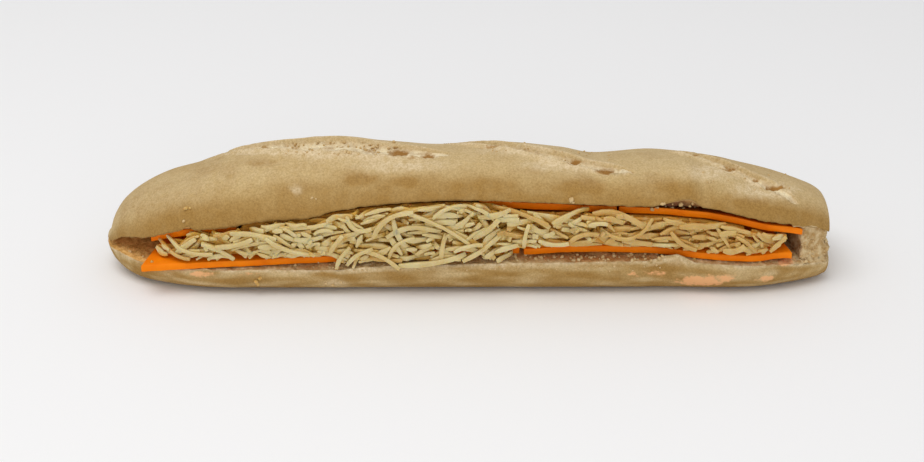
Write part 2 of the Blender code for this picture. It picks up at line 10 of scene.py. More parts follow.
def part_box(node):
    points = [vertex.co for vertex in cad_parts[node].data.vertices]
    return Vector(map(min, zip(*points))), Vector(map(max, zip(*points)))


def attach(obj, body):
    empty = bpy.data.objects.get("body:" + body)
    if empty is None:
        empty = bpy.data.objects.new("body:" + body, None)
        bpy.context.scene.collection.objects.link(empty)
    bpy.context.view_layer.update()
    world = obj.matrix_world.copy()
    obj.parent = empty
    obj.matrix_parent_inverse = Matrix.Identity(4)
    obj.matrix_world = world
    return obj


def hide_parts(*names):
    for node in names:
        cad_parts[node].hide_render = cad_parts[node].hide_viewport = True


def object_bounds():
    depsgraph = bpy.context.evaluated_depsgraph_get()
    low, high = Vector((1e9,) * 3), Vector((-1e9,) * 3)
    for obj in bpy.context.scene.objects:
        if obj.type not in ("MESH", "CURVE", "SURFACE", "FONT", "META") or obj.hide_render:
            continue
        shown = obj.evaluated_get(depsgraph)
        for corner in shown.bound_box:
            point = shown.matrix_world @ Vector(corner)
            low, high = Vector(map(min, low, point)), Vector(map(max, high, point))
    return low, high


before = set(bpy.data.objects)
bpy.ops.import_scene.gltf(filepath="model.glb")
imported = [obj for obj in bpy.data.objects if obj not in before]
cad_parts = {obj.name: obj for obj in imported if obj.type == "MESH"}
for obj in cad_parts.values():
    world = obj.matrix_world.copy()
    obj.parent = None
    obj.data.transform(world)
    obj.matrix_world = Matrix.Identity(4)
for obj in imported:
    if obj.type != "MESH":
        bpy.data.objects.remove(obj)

# One long panini lying on its flat base, open to the front, filled with three cheeses.
# Lengths are in millimetres in the loaf's own design frame, and become metres when a mesh is made.
mm = 0.001
cadLow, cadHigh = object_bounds()
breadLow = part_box("bread")[0]

loaf = dict(
    left=-137.5, right=135.8, halfWidth=31.0,
    leftRound=-87.0, tipMargin=0.4, rightRound=95.0, rightEndHalfWidth=17.0,
    endRound=3.0, endShrink=0.45,
    hingeRise=4.5, lidSetback=2.0, crestFullness=2.35, baseFullness=2.2,
    frontCorner=11.0, backCorner=14.0, cornerShare=0.5,
    pocketShare=1.19, pocketLean=0.05, pocketBulge=1.0,
    webStart=117.5, webFull=123.0, webDepth=2.6, webShare=0.3, lipWidth=2.6, lipShare=0.2,
    shutLeft=2.0, shutRight=1.5, shutShare=0.02,
    tornLow=9.0, tornHigh=21.0, tornEase=3.0, tornSetback=3.0, tornLidSetback=1.2,
)

# heights along the loaf, as (place along X, height)
lidEdgeKnots = [
    (-137.5, 11.6), (-130, 17.1), (-124, 19.0), (-118, 20.6), (-106, 24.8), (-92, 26.6),
    (-70, 30.2),
    (-60, 30.6), (-50, 33.6), (-26, 36.9), (-5, 38.0), (30, 36.9), (58, 35.7), (82, 35.3),
    (94, 33.1),
    (105, 29.8), (119, 26.2), (128, 23.0), (135, 20.0),
]
lidCrackKnots = [(-107, 0.0), (-103, 1.6), (-100.5, 0.0)]
lidTearKnots = [(65, 0.0), (79, 3.3), (84.5, 0.0)]
baseEdgeKnots = [
    (-137.5, 10.0), (-131, 11.0), (-121, 10.2), (-85, 10.9), (-50, 11.0), (-36, 12.3),
    (0, 13.4), (40, 14.2), (70, 14.6), (94, 13.1), (116, 11.4), (135, 9.0),
]
crustFlapKnots = [(62, 0.0), (75, 2.8), (83, 0.0)]
crestKnots = [
    (-137.5, 12.8), (-135, 19.0), (-131, 25.0), (-124, 30.2), (-114, 35.0), (-105, 37.4),
    (-96, 40.6),
    (-86, 44.0), (-70, 46.3), (-46, 47.6), (-34, 46.4), (-11, 45.3), (10, 46.3), (34, 44.0),
    (46, 42.0),
    (66, 43.5), (80, 42.6), (94, 40.4), (105, 37.3), (116, 34.6), (127, 31.0), (132, 28.2),
    (136, 22.0),
]
undersideKnots = [(-137.5, 8.0), (-134, 4.6), (-129, 1.6), (-122, 0.0), (128, 0.0), (136, 1.5)]

shift = Vector((breadLow.x / mm - loaf["left"], breadLow.y / mm + loaf["halfWidth"],
                breadLow.z / mm))

# where the photograph was taken from, and its size
eye = dict(target=(-3.2, 0.0, 12.4), distance=700.0, elevation=25.0, lens=71.52, sensor=36.0,
           across=924, down=462)

# the line of sight below level, and its length in pixels of the photograph
eyeAngle = math.radians(eye["elevation"])
focal = eye["lens"] / eye["sensor"] * eye["across"]


def mix(a, b, t):
    return a + (b - a) * t


def smoothStep(low, high, value):
    t = np.clip((value - low) / (high - low), 0.0, 1.0)
    return t * t * (3.0 - 2.0 * t)


def slopeAt(knots, i):
    if i == 0 or i == len(knots) - 1:
        return 0.0
    before = (knots[i][1] - knots[i - 1][1]) / (knots[i][0] - knots[i - 1][0])
    after = (knots[i + 1][1] - knots[i][1]) / (knots[i + 1][0] - knots[i][0])
    if before * after <= 0.0:
        return 0.0
    return 2.0 * before * after / (before + after)


# smooth curve through the knots, for one x
def curve(knots, x):
    if x <= knots[0][0]:
        return knots[0][1]
    if x >= knots[-1][0]:
        return knots[-1][1]
    i = 0
    while knots[i + 1][0] < x:
        i += 1
    run = knots[i + 1][0] - knots[i][0]
    t = (x - knots[i][0]) / run
    value = ((1.0 + 2.0 * t) * (1.0 - t) ** 2 * knots[i][1]
             + t * (1.0 - t) ** 2 * run * slopeAt(knots, i))
    value += (t * t * (3.0 - 2.0 * t) * knots[i + 1][1]
              + t * t * (t - 1.0) * run * slopeAt(knots, i + 1))
    return value


def halfWidth(x):
    if x < loaf["leftRound"]:
        reach = (loaf["leftRound"] - x) / (loaf["leftRound"] - loaf["left"] + loaf["tipMargin"])
        return loaf["halfWidth"] * math.sqrt(max(0.0, 1.0 - reach * reach))
    if x > loaf["rightRound"]:
        reach = (x - loaf["rightRound"]) / (loaf["right"] - loaf["rightRound"])
        return mix(loaf["halfWidth"], loaf["rightEndHalfWidth"], reach * reach)
    return loaf["halfWidth"]


def lidFront(x):
    return -halfWidth(x) * (1.0 - loaf["lidSetback"] / loaf["halfWidth"])


def hingeHeight(x):
    rise = loaf["hingeRise"] * halfWidth(x) / loaf["halfWidth"]
    return min(curve(baseEdgeKnots, x) + rise, curve(lidEdgeKnots, x))


# the lid's cut face, from its front edge down to the hinge
def lidUnder(x, y):
    front = lidFront(x)
    t = max(0.0, (y - front) / (halfWidth(x) - front))
    return mix(curve(lidEdgeKnots, x), hingeHeight(x), t)


# the lower half's cut face
def baseTop(x, y):
    width = halfWidth(x)
    t = max(0.0, (y + width) / (2.0 * width))
    return mix(curve(baseEdgeKnots, x), hingeHeight(x), t)


# pixel of the photograph at which places of the loaf are seen
def seenAt(places):
    along = places[..., 1] - eye["target"][1]
    above = places[..., 2] - eye["target"][2]
    depth = eye["distance"] + along * math.cos(eyeAngle) - above * math.sin(eyeAngle)
    right = eye["across"] / 2 + focal * (places[..., 0] - eye["target"][0]) / depth
    upward = along * math.sin(eyeAngle) + above * math.cos(eyeAngle)
    down = eye["down"] / 2 - focal * upward / depth
    return right, down


# soft ovals seen at (right, down) with half sizes, each as strong as its last value
def ovals(right, down, spots):
    total = np.zeros_like(right)
    for spotRight, spotDown, sizeRight, sizeDown, strength in spots:
        square = ((right - spotRight) / sizeRight) ** 2 + ((down - spotDown) / sizeDown) ** 2
        total = np.maximum(total, strength * np.exp(-square ** 1.5))
    return total


def noiseOver(places, spacing, offset=0.0):
    flat = places.reshape(-1, 3) / spacing + offset
    values = [noise.noise(Vector(place)) for place in flat.tolist()]
    return np.array(values).reshape(places.shape[:-1])


def inFrame(places):
    return (places + np.array(shift)) * mm


def alone(piece):
    bpy.ops.object.select_all(action="DESELECT")
    piece.select_set(True)
    bpy.context.view_layer.objects.active = piece


# a primitive starts each piece that is modelled, with all others deselected
def startPiece(name, operator, **settings):
    bpy.ops.object.select_all(action="DESELECT")
    operator(**settings)
    piece = bpy.context.object
    piece.name = piece.data.name = name
    return piece


# every edge that runs along an axis for more than a length is cut
def cutAlong(piece, axis, longerThan, cuts):
    bpy.ops.object.mode_set(mode="EDIT")
    bpy.ops.mesh.select_mode(type="EDGE")
    bpy.ops.mesh.select_all(action="DESELECT")
    bpy.ops.object.mode_set(mode="OBJECT")
    for edge in piece.data.edges:
        a, b = (piece.data.vertices[i].co for i in edge.vertices)
        edge.select = abs(a[axis] - b[axis]) > longerThan
    bpy.ops.object.mode_set(mode="EDIT")
    bpy.ops.mesh.subdivide(number_cuts=cuts)
    bpy.ops.object.mode_set(mode="OBJECT")


# the active piece gets its normals out, with points closer than merge joined first
def turnOutward(merge=0.0):
    bpy.ops.object.mode_set(mode="EDIT")
    bpy.ops.mesh.select_all(action="SELECT")
    if merge:
        bpy.ops.mesh.remove_doubles(threshold=merge)
    bpy.ops.mesh.normals_make_consistent(inside=False)
    bpy.ops.object.mode_set(mode="OBJECT")


# points and faces of a piece that was modelled only to be copied
def takeShape(piece):
    mesh = piece.data
    points = np.array([vertex.co for vertex in mesh.vertices])
    faces = [tuple(face.vertices) for face in mesh.polygons]
    bpy.data.objects.remove(piece)
    bpy.data.meshes.remove(mesh)
    return points, faces


def addField(mesh, name, values):
    field = mesh.attributes.new(name, "FLOAT", "POINT")
    field.data.foreach_set("value", values.astype(np.float32))


def finishPiece(piece, material, nodes):
    piece.data.materials.append(material)
    if nodes:
        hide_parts(*nodes)
    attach(piece, "root")
    piece.data.calc_loop_triangles()
    print("panini:", piece.name, len(piece.data.loop_triangles), "triangles")


# one material, all on Object coordinates and the piece's own attributes
class Shading:
    def __init__(self, name):
        self.material = bpy.data.materials.new(name)
        self.material.use_nodes = True
        self.tree = self.material.node_tree
        self.shader = self.tree.nodes["Principled BSDF"]

    # a socket takes a number, a colour or another node's output
    def feed(self, socket, value):
        if isinstance(value, bpy.types.NodeSocket):
            self.tree.links.new(value, socket)
        else:
            socket.default_value = (*value, 1.0) if isinstance(value, tuple) else value

    def put(self, kind, sockets=None, **settings):
        node = self.tree.nodes.new(kind)
        for name, value in settings.items():
            setattr(node, name, value)
        for name, value in (sockets or {}).items():
            self.feed(node.inputs[name], value)
        return node

    def texture(self, kind, spacing, **sockets):
        place = self.put("ShaderNodeTexCoord").outputs["Object"]
        return self.put(kind, dict(Vector=place, Scale=1.0 / (spacing * mm), **sockets))

    def grain(self, spacing, detail=3.0, roughness=0.55):
        node = self.texture("ShaderNodeTexNoise", spacing, Detail=detail, Roughness=roughness)
        return node.outputs["Fac"]

    def cells(self, spacing):
        return self.texture("ShaderNodeTexVoronoi", spacing).outputs["Distance"]

    def measured(self, name):
        return self.put("ShaderNodeAttribute", attribute_name=name).outputs["Fac"]

    # from low to high of the source, 0 to 1
    def span(self, source, low, high):
        sockets = {"Value": source, "From Min": low, "From Max": high}
        node = self.put("ShaderNodeMapRange", sockets, interpolation_type="SMOOTHSTEP")
        return node.outputs["Result"]

    def calculate(self, operation, a, b):
        return self.put("ShaderNodeMath", {0: a, 1: b}, operation=operation).outputs["Value"]

    def times(self, a, b):
        return self.calculate("MULTIPLY", a, b)

    # the grain moves a value by up to half of the amount either way
    def roughened(self, value, grain, amount):
        centred = self.calculate("SUBTRACT", grain, 0.5)
        return self.calculate("ADD", value, self.times(centred, amount))

    def blend(self, factor, a, b, way="MIX"):
        node = self.put("ShaderNodeMix", {0: factor, 6: a, 7: b}, data_type="RGBA",
                        blend_type=way, clamp_factor=True)
        return node.outputs[2]

    def setRoughness(self, source, low, high):
        node = self.put("ShaderNodeMapRange", {"Value": source, "To Min": low, "To Max": high})
        self.feed(self.shader.inputs["Roughness"], node.outputs["Result"])

    # each layer is a height, its distance in mm and its strength
    def addBump(self, *layers):
        normal = None
        for height, distance, strength in layers:
            bump = self.put("ShaderNodeBump", dict(
                Height=height, Distance=distance * mm, Strength=strength))
            if normal:
                self.feed(bump.inputs["Normal"], normal)
            normal = bump.outputs["Normal"]
        self.feed(self.shader.inputs["Normal"], normal)


# hollow and band are colours of painted shade, innerCrumb and shadedCrumb colour the pocket's
# painted shade, and gap is a painted shadow
breadLook = dict(
    pale=(0.535, 0.388, 0.18), warm=(0.495, 0.34, 0.137), baked=(0.345, 0.197, 0.053),
    flour=(0.68, 0.54, 0.34), crumb=(0.62, 0.43, 0.20), brownCrumb=(0.44, 0.255, 0.085),
    innerCrumb=(0.86, 0.52, 0.18), shadedCrumb=(0.60, 0.32, 0.085), shadeBand=(0.42, 0.15, 0.035),
    paleCrumb=(0.72, 0.57, 0.33), burstCrumb=(0.88, 0.75, 0.50), shadedHollow=(0.36, 0.18, 0.045),
    gap=(0.14, 0.055, 0.025), peach=(0.84, 0.44, 0.2), speck=(0.19, 0.105, 0.04),
    darker=(0.8, 0.77, 0.69), brighter=(1.13, 1.14, 1.18), patchShare=0.3, poreShare=0.5,
    stainShare=0.85, speckShare=0.75, speckSpacing=1.9, speckSize=0.085, poreSpacing=1.5,
    pores=(0.12, 0.6), gloss=0.72, dull=0.97, sheen=0.22,
)
# patterns on the bread: spacing in mm, detail, and the levels that they run between
breadPatterns = dict(
    cloud=(30.0, 3.0, 0.35, 0.68), patch=(12.0, 1.5, 0.5, 0.78), dust=(2.2, 5.0, 0.1, 0.7),
    speckPatch=(6.0, 3.0, 0.42, 0.58), crumb=(3.6, 4.0, 0.36, 0.62), shade=(2.6, 4.0, 0.35, 0.65),
    burst=(2.4, 5.0, 0.36, 0.6), burstPatch=(4.0, 5.0, 0.56, 0.7),
)
# attributes with a ragged edge: the grain's spacing and detail, and how much it moves them
breadEdges = dict(bakeAndShade=(6.0, 5.0, 0.9), crumb=(1.5, 3.0, 0.7), shadedHollow=(1.4, 4.0, 0.8),
                  stain=(1.9, 3.0, 1.2))


def makeBreadMaterial():
    own, look = Shading("floury_crust"), breadLook
    pattern = {name: own.span(own.grain(spacing, detail), low, high)
               for name, (spacing, detail, low, high) in breadPatterns.items()}
    edge = {name: own.roughened(own.measured(name), own.grain(spacing, detail), amount)
            for name, (spacing, detail, amount) in breadEdges.items()}
    crust = own.blend(pattern["cloud"], look["pale"], look["warm"])
    crust = own.blend(own.times(pattern["patch"], look["patchShare"]), crust, look["baked"])
    # baked brown patches, and painted shade darkening the lid's lower half
    crust = own.blend(edge["bakeAndShade"], crust, look["baked"])
    crust = own.blend(own.times(own.measured("flour"), pattern["dust"]), crust, look["flour"])
    fine = own.grain(0.75, detail=4.0, roughness=0.75)
    tint = own.blend(own.span(fine, 0.3, 0.68), look["darker"], look["brighter"])
    crust = own.blend(1.0, crust, tint, "MULTIPLY")
    specks = own.calculate("LESS_THAN", own.cells(look["speckSpacing"]), look["speckSize"])
    specks = own.times(own.times(specks, pattern["speckPatch"]), look["speckShare"])
    crust = own.blend(specks, crust, look["speck"])
    # open crumb: pale walls round browner pores
    pores = own.times(own.span(own.cells(look["poreSpacing"]), *look["pores"]), look["poreShare"])
    inner = own.blend(pattern["crumb"], look["brownCrumb"], look["crumb"])
    inner = own.blend(pores, inner, look["paleCrumb"])
    # the pocket's inside is painted in warm shade, darker than the open crumb
    deep = own.blend(pattern["shade"], look["shadedCrumb"], look["innerCrumb"])
    # the band below the right slice is painted shade
    deep = own.blend(own.measured("shadeBand"), deep, look["shadeBand"])
    inner = own.blend(own.measured("inside"), inner, deep)
    rim = own.blend(pattern["shade"], look["brownCrumb"], look["paleCrumb"])
    inner = own.blend(own.measured("rimCrumb"), inner, rim)
    burst = own.blend(pattern["burst"], look["flour"], look["burstCrumb"])
    burst = own.blend(pattern["burstPatch"], burst, look["brownCrumb"])
    inner = own.blend(own.measured("burst"), inner, burst)
    colour = own.blend(own.span(edge["crumb"], 0.35, 0.62), crust, inner)
    # painted shade in the scores' hollows and creases
    colour = own.blend(own.span(edge["shadedHollow"], 0.25, 0.75), colour, look["shadedHollow"])
    # a painted shadow in the gap below the lid's tear
    colour = own.blend(own.measured("gap"), colour, look["gap"])
    stain = own.times(own.span(edge["stain"], 0.28, 0.68), look["stainShare"])
    own.feed(own.shader.inputs["Base Color"], own.blend(stain, colour, look["peach"]))
    own.setRoughness(fine, look["gloss"], look["dull"])
    own.shader.inputs["Specular IOR Level"].default_value = look["sheen"]
    crag = own.grain(2.2, detail=5.0, roughness=0.7)
    own.addBump((fine, 0.14, 0.6), (own.grain(2.6), 0.25, 0.35),
                (crag, 1.0, own.times(own.span(edge["crumb"], 0.3, 0.7), 0.8)))
    return own.material


def makeCheeseMaterial(name, look):
    own = Shading(name)
    cloud = own.span(own.grain(look["cloudSpacing"]), 0.3, 0.7)
    colour = own.blend(cloud, look["light"], look["deep"])
    # the tone attribute gives crumbs a random tone and gives strips deep in the heap a painted
    # shade
    colour = own.blend(own.measured("tone_and_depth_shade"), colour, look["tonedAndShaded"])
    fleck = own.span(own.grain(look["fleckSpacing"], detail=4.0), 0.55, 0.75)
    colour = own.blend(own.times(fleck, look["fleckShare"]), colour, look["fleck"])
    own.feed(own.shader.inputs["Base Color"], colour)
    own.setRoughness(cloud, look["gloss"], look["dull"])
    own.shader.inputs["Specular IOR Level"].default_value = look["sheen"]
    own.shader.inputs["Subsurface Weight"].default_value = look["glow"]
    own.shader.inputs["Subsurface Radius"].default_value = look["glowColour"]
    own.shader.inputs["Subsurface Scale"].default_value = 0.0012
    own.addBump((own.grain(look["fleckSpacing"], detail=2.0), 0.1, 0.5),
                (own.grain(2.4, detail=2.0), 0.3, 0.35))
    return own.material


# bread
breadGrid = dict(
    rings=424, capSteps=7, frontCorner=18, underside=9, backCorner=14, lid=104, lidFace=15,
    pocketBack=8, baseFace=26, arch=241, scoresFrom=0.72, behindFrom=13.0,
    lidEase=1.3, baseEase=1.6,
)
scores = [
    dict(start=(-99.0, 10.0), end=(-8.0, -12.0), reach=9.0, depth=3.2, lip=1.0),
    dict(start=(-11.0, 7.0), end=(60.0, -20.0), reach=5.2, depth=3.2, lip=1.1),
    dict(start=(72.5, 6.5), end=(121.0, -20.0), reach=5.0, depth=3.0, lip=0.9),
]
# marks on the bread, each seen at (right, down) of the photograph with half sizes and strength
breadMarks = dict(
    shadedHollow=[(398, 153, 13, 5, 0.8), (428, 155, 11, 5, 0.7), (372, 151, 12, 3, 0.5),
            (489, 146, 12, 3, 0.6),
            (692, 155, 12, 3, 0.55), (715, 160, 5, 3, 0.6), (729, 168, 10, 4, 0.75),
            (778, 187, 15, 5, 0.7), (236, 152, 22, 1.6, 0.6)],
    hole=[(575, 161, 7.5, 3.2, 1.0), (604, 171.5, 11, 2.6, 0.9), (394, 154, 8, 2.2, 0.7),
          (412, 157, 5, 2, 0.7),
          (427, 156, 10, 2.2, 0.8), (729, 169, 7, 2.4, 0.8), (776, 187, 11, 3.0, 0.9),
          (757, 180, 4, 2.4, 0.7),
          (697, 155, 9, 1.8, 0.6), (716, 160, 4, 2.4, 0.6), (492, 146, 9, 2.0, 0.6),
          (330, 149, 7, 1.6, 0.5)],
    bakeAndShade=[(262, 163, 16, 4, 0.8), (361, 179, 16, 6, 1.0), (404, 182, 15, 5, 0.95),
          (582, 186, 22, 7, 1.0),
          (757, 202, 20, 7, 0.65), (210, 168, 26, 8, 0.4), (300, 187, 26, 9, 0.35),
          (480, 184, 30, 8, 0.35),
          (530, 171, 18, 4, 0.4), (660, 184, 30, 8, 0.35), (165, 205, 60, 20, 0.4),
          (790, 212, 42, 16, 0.4)],
    stain=[(700, 281, 26, 5.5, 0.85), (724, 278, 16, 4, 0.7), (632, 274, 5, 3, 0.7),
           (657, 273.5, 17, 3, 0.6),
           (765, 279, 10, 4, 0.7), (200, 273.5, 17, 3, 0.75), (785, 262, 9, 5, 0.9),
           (250, 274, 14, 2.5, 0.5)],
    flour=[(430, 141, 20, 5, 0.7), (566, 165, 38, 6, 0.9), (765, 190, 30, 8, 0.9),
           (320, 148, 90, 6, 0.7),
           (400, 166, 44, 6, 0.7), (520, 150, 40, 5, 0.7), (335, 283, 12, 3, 0.8),
           (410, 266.5, 16, 2.5, 0.9),
           (296, 190, 5, 5, 0.8), (712, 172, 28, 8, 0.7), (260, 152, 36, 2.5, 0.9),
           (345, 270, 60, 2.5, 0.6),
           (470, 266, 80, 2.5, 0.6), (600, 264, 60, 2, 0.5)],
    shadeBand=[(590, 258, 90, 4.5, 0.9), (318, 266, 24, 3.5, 0.7), (440, 262, 60, 4, 0.5)],
    # gap is a painted shadow below the lid's tear
    gap=[(672, 206, 40, 7, 1.0)],
    blister=[(296, 190, 5.5, 5.5, 0.35), (417, 191, 3.5, 5.5, 0.6), (355, 172, 10, 4, 0.3)],
    dent=[(371, 176, 14, 5, 0.5), (262, 166, 16, 5, 0.3), (590, 188, 18, 6, 0.6),
          (757, 203, 12, 5, 0.5),
          (540, 162, 9, 5, 0.4)],
)


def quarter(count, fullness):
    angle = np.linspace(0.0, math.pi / 2.0, count + 1)
    across = np.cos(angle).clip(0.0, 1.0) ** (2.0 / fullness)
    down = np.sin(angle).clip(0.0, 1.0) ** (2.0 / fullness)
    return across, down


def evenly(line, count, density):
    steps = np.hypot(np.diff(line[:, 0]), np.diff(line[:, 1])) * (density[1:] + density[:-1]) / 2.0
    run = np.concatenate(([0.0], np.cumsum(steps)))
    wanted = np.linspace(0.0, run[-1], count)
    return np.stack([np.interp(wanted, run, line[:, i]) for i in range(line.shape[1])], axis=1)


# a cut face from the crust's edge to the pocket's back: it leaves the edge at the edge's height
def cutFace(x, plane, edgeY, edgeZ, backY, lip, share):
    y = mix(edgeY, backY, share)
    onPlane = np.array([plane(x, value) for value in y])
    tuck = smoothStep(0.0, 1.0, (y - edgeY) / max(lip, 0.01))
    return np.stack([y, mix(edgeZ, onPlane, tuck)], axis=1)


# closed outline of the bread at x: columns y, z, cut face, height share of the lid
def breadRing(x):
    width, low, hinge = halfWidth(x), curve(undersideKnots, x), hingeHeight(x)
    edge = curve(baseEdgeKnots, x) + curve(crustFlapKnots, x)
    front = min(loaf["frontCorner"], loaf["cornerShare"] * width)
    back = min(loaf["backCorner"], loaf["cornerShare"] * width)
    across, down = quarter(breadGrid["frontCorner"], loaf["baseFullness"])
    parts = [np.stack([-width + front * (1.0 - across), edge - (edge - low) * down], axis=1)]
    flat = np.linspace(-width + front, width - back, breadGrid["underside"] + 2)[1:-1]
    parts.append(np.stack([flat, np.full_like(flat, low)], axis=1))
    across, down = quarter(breadGrid["backCorner"], loaf["baseFullness"])
    corner = np.stack([width - back * (1.0 - across), hinge - (hinge - low) * down], axis=1)
    parts.append(corner[:0:-1])
    # lid: a rounded arch over the line from the hinge to the front edge
    lidBack = np.array((width, hinge))
    lidEdge = curve(lidEdgeKnots, x) + curve(lidCrackKnots, x) + curve(lidTearKnots, x)
    lidTip = np.array((lidFront(x), lidEdge))
    middle, halfChord = (lidBack + lidTip) / 2.0, (lidBack - lidTip) / 2.0
    outward = np.array((-halfChord[1], halfChord[0])) / np.hypot(*halfChord)
    rise = max(1.0, (curve(crestKnots, x) - middle[1]) / outward[1])
    turn = np.linspace(0.0, math.pi, breadGrid["arch"])
    sideways = np.sign(np.cos(turn)) * np.abs(np.cos(turn)) ** (2.0 / loaf["crestFullness"])
    up = np.sin(turn).clip(0.0, 1.0) ** (2.0 / loaf["crestFullness"])
    arch = middle + halfChord * sideways[:, None] + outward * (rise * up)[:, None]
    # twice as many points where the scores lie, half as many behind them
    density = np.where(up > breadGrid["scoresFrom"], 2.0, 1.0)
    density = np.where(arch[:, 0] > breadGrid["behindFrom"], 0.5, density)
    lid = evenly(np.column_stack([arch, up]), breadGrid["lid"], density)
    # pocket: back along the lid's cut face, down the inside of the hinge, forward over the base
    opened = float(1.0 - smoothStep(loaf["webStart"], loaf["webFull"], x))
    shut = float(smoothStep(loaf["left"], loaf["left"] + loaf["shutLeft"], x)
                 * (1.0 - smoothStep(loaf["right"] - loaf["shutRight"], loaf["right"], x)))
    web = min(loaf["webDepth"], loaf["webShare"] * width)
    depth = mix(web, loaf["pocketShare"] * width, opened) * mix(loaf["shutShare"], 1.0, shut)
    faceBack = lidTip[0] + depth * (1.0 - loaf["pocketLean"] * opened)
    baseBack = -width + depth
    lip = min(loaf["lipWidth"], loaf["lipShare"] * depth)
    share = np.linspace(0.0, 1.0, breadGrid["lidFace"] + 1)[1:] ** breadGrid["lidEase"]
    parts.append(cutFace(x, lidUnder, lidTip[0], lidTip[1], faceBack, lip, share))
    share = np.linspace(0.0, 1.0, breadGrid["pocketBack"] + 2)[1:-1]
    bulge = loaf["pocketBulge"] * min(1.0, depth) * np.sin(math.pi * share)
    y = mix(faceBack, baseBack, share) + bulge
    parts.append(np.stack([y, mix(lidUnder(x, faceBack), baseTop(x, baseBack), share)], axis=1))
    share = np.linspace(1.0, 0.0, breadGrid["baseFace"] + 1)[:-1] ** breadGrid["baseEase"]
    parts.append(cutFace(x, baseTop, -width, edge, baseBack, lip, share))
    crustLine = np.concatenate(parts[:3])
    cutLine = np.concatenate(parts[3:])
    outer = np.column_stack([crustLine, np.zeros((len(crustLine), 2))])
    domed = np.column_stack([lid[:, :2], np.zeros(len(lid)), lid[:, 2]])
    cut = np.column_stack([cutLine, np.ones(len(cutLine)), np.zeros(len(cutLine))])
    ring = np.concatenate([outer, domed, cut])
    # the blunt right end is drawn in, and its torn crumb is set back between the crusts
    intoEnd = max(0.0, x - (loaf["right"] - loaf["endRound"])) / loaf["endRound"]
    middleZ = (low + curve(crestKnots, x)) / 2.0
    scale = 1.0 - loaf["endShrink"] * intoEnd * intoEnd
    z = middleZ + (ring[:, 1] - middleZ) * scale
    upper = smoothStep(loaf["tornHigh"] - loaf["tornEase"], loaf["tornHigh"], z)
    torn = smoothStep(loaf["tornLow"] - loaf["tornEase"], loaf["tornLow"], z) * (1.0 - upper)
    setback = loaf["tornSetback"] * torn + loaf["tornLidSetback"] * upper
    columns = [x - intoEnd * setback, ring[:, 0] * scale, z, ring[:, 2], ring[:, 3]]
    return np.column_stack(columns), middleZ


# a score's cross section, as shares of its reach, with its lips and the creases beside them
scoreShape = dict(openPower=0.6, wander=0.16, ragged=0.2, edge=(0.62, 1.02), lipAt=1.12,
                  lipInner=0.09, lipOuter=0.32, nearLip=1.15, farLip=0.5, creaseAt=0.86,
                  creaseWidth=0.12, creaseDepth=1.1, lumpDepth=1.5, cragDepth=0.8)


# depth of the opened scores, how far inside one each place lies, how near to a lip and its crease
def scoreRelief(places, crag, clump):
    shape = scoreShape
    relief, within, lips, creases = (np.zeros(places.shape[:-1]) for field in range(4))
    for score in scores:
        (startX, startY), (endX, endY) = score["start"], score["end"]
        run = math.hypot(endX - startX, endY - startY)
        alongX, alongY = (endX - startX) / run, (endY - startY) / run
        x, y = places[..., 0] - startX, places[..., 1] - startY
        t = ((x * alongX + y * alongY) / run).clip(0.0, 1.0)
        isOpen = (t > 0.0) & (t < 1.0)
        opening = np.sin(math.pi * t).clip(0.0, 1.0) ** shape["openPower"]
        side = y * alongX - x * alongY
        share = np.abs(side) / (score["reach"] * np.maximum(opening, 0.001))
        share += shape["wander"] * clump
        inside = (1.0 - smoothStep(*shape["edge"], share + shape["ragged"] * crag)) * isOpen
        floor = score["depth"] * opening - shape["lumpDepth"] * clump.clip(0.0, 1.0)
        relief -= inside * (floor - shape["cragDepth"] * crag)
        lipWidth = np.where(share < shape["lipAt"], shape["lipInner"], shape["lipOuter"])
        lip = np.exp(-((share - shape["lipAt"]) / lipWidth) ** 2) * isOpen
        lip *= np.where(side < 0.0, shape["nearLip"], shape["farLip"])
        lip *= (1.0 + 0.45 * crag) * np.minimum(1.0, 1.6 * opening)
        crease = np.exp(-((share - shape["creaseAt"]) / shape["creaseWidth"]) ** 2) * opening
        crease *= isOpen * (side < 0.0)
        relief += score["lip"] * lip - shape["creaseDepth"] * crease * (1.0 + 0.6 * crag)
        creases = np.maximum(creases, crease)
        within = np.maximum(within, inside)
        lips = np.maximum(lips, lip)
    return relief, within, lips.clip(0.0, 1.0), creases


# spacings in mm of the noise that roughens the bread
spacings = dict(coarse=17.0, medium=4.5, fine=1.9, clump=6.0, grit=1.1, lid=9.0, crust=8.0,
                rim=3.5, rimFine=1.3, streaks=2.6, caps=2.5)
# how far the noise moves each part of the bread, in mm, and how deep the marks go
moves = dict(lid=(0.35, 0.12), crust=(0.05, 0.12), crumb=(0.6, 0.3), score=(0.4, 0.35),
             torn=(1.9, 0.8), web=(1.3, 0.5), rim=0.45, pit=1.3, hole=1.2)
# where parts of the bread begin and are full: along X, up Z, back from the base's front edge, above
# the base's edge, or up the lid's height
zones = dict(
    crown=(0.3, 0.8), lidRim=(0.0, 0.35), lidLow=(0.0, 0.75), underside=(0.5, 5.0),
    tornFrom=(128.0, 132.0), tornAbove=(8.0, 11.0), tornBelow=(17.0, 20.0),
    webFrom=(115.0, 118.0), webTo=(125.0, 129.0), webCrumb=(110.0, 118.0), pocketTo=(102.0, 113.0),
    rimFrom=(-122.0, -110.0), rimBack=(7.0, 3.5), baseRim=(-1.6, -0.2), pit=(-0.25, 0.2),
)


# noise that changes only along the loaf
def noiseAlong(places, spacing, offset):
    return noiseOver(places * np.array((1.0, 0.0, 0.0)), spacing, offset)


# an end is closed by rings that draw in to its middle
def capRings(ring, middle, bulge, rough):
    centre = np.array((ring[:, 0].mean(), 0.0, middle))
    rows = []
    for inner in np.arange(1, breadGrid["capSteps"] + 1) / breadGrid["capSteps"]:
        capped = mix(ring, centre, inner)
        capped[:, 0] += bulge * math.sqrt(1.0 - (1.0 - inner) ** 2)
        capped[:, 0] += rough * noiseOver(capped, spacings["caps"], 5.0) * (1.0 - inner)
        rows.append(capped)
    return np.array(rows)


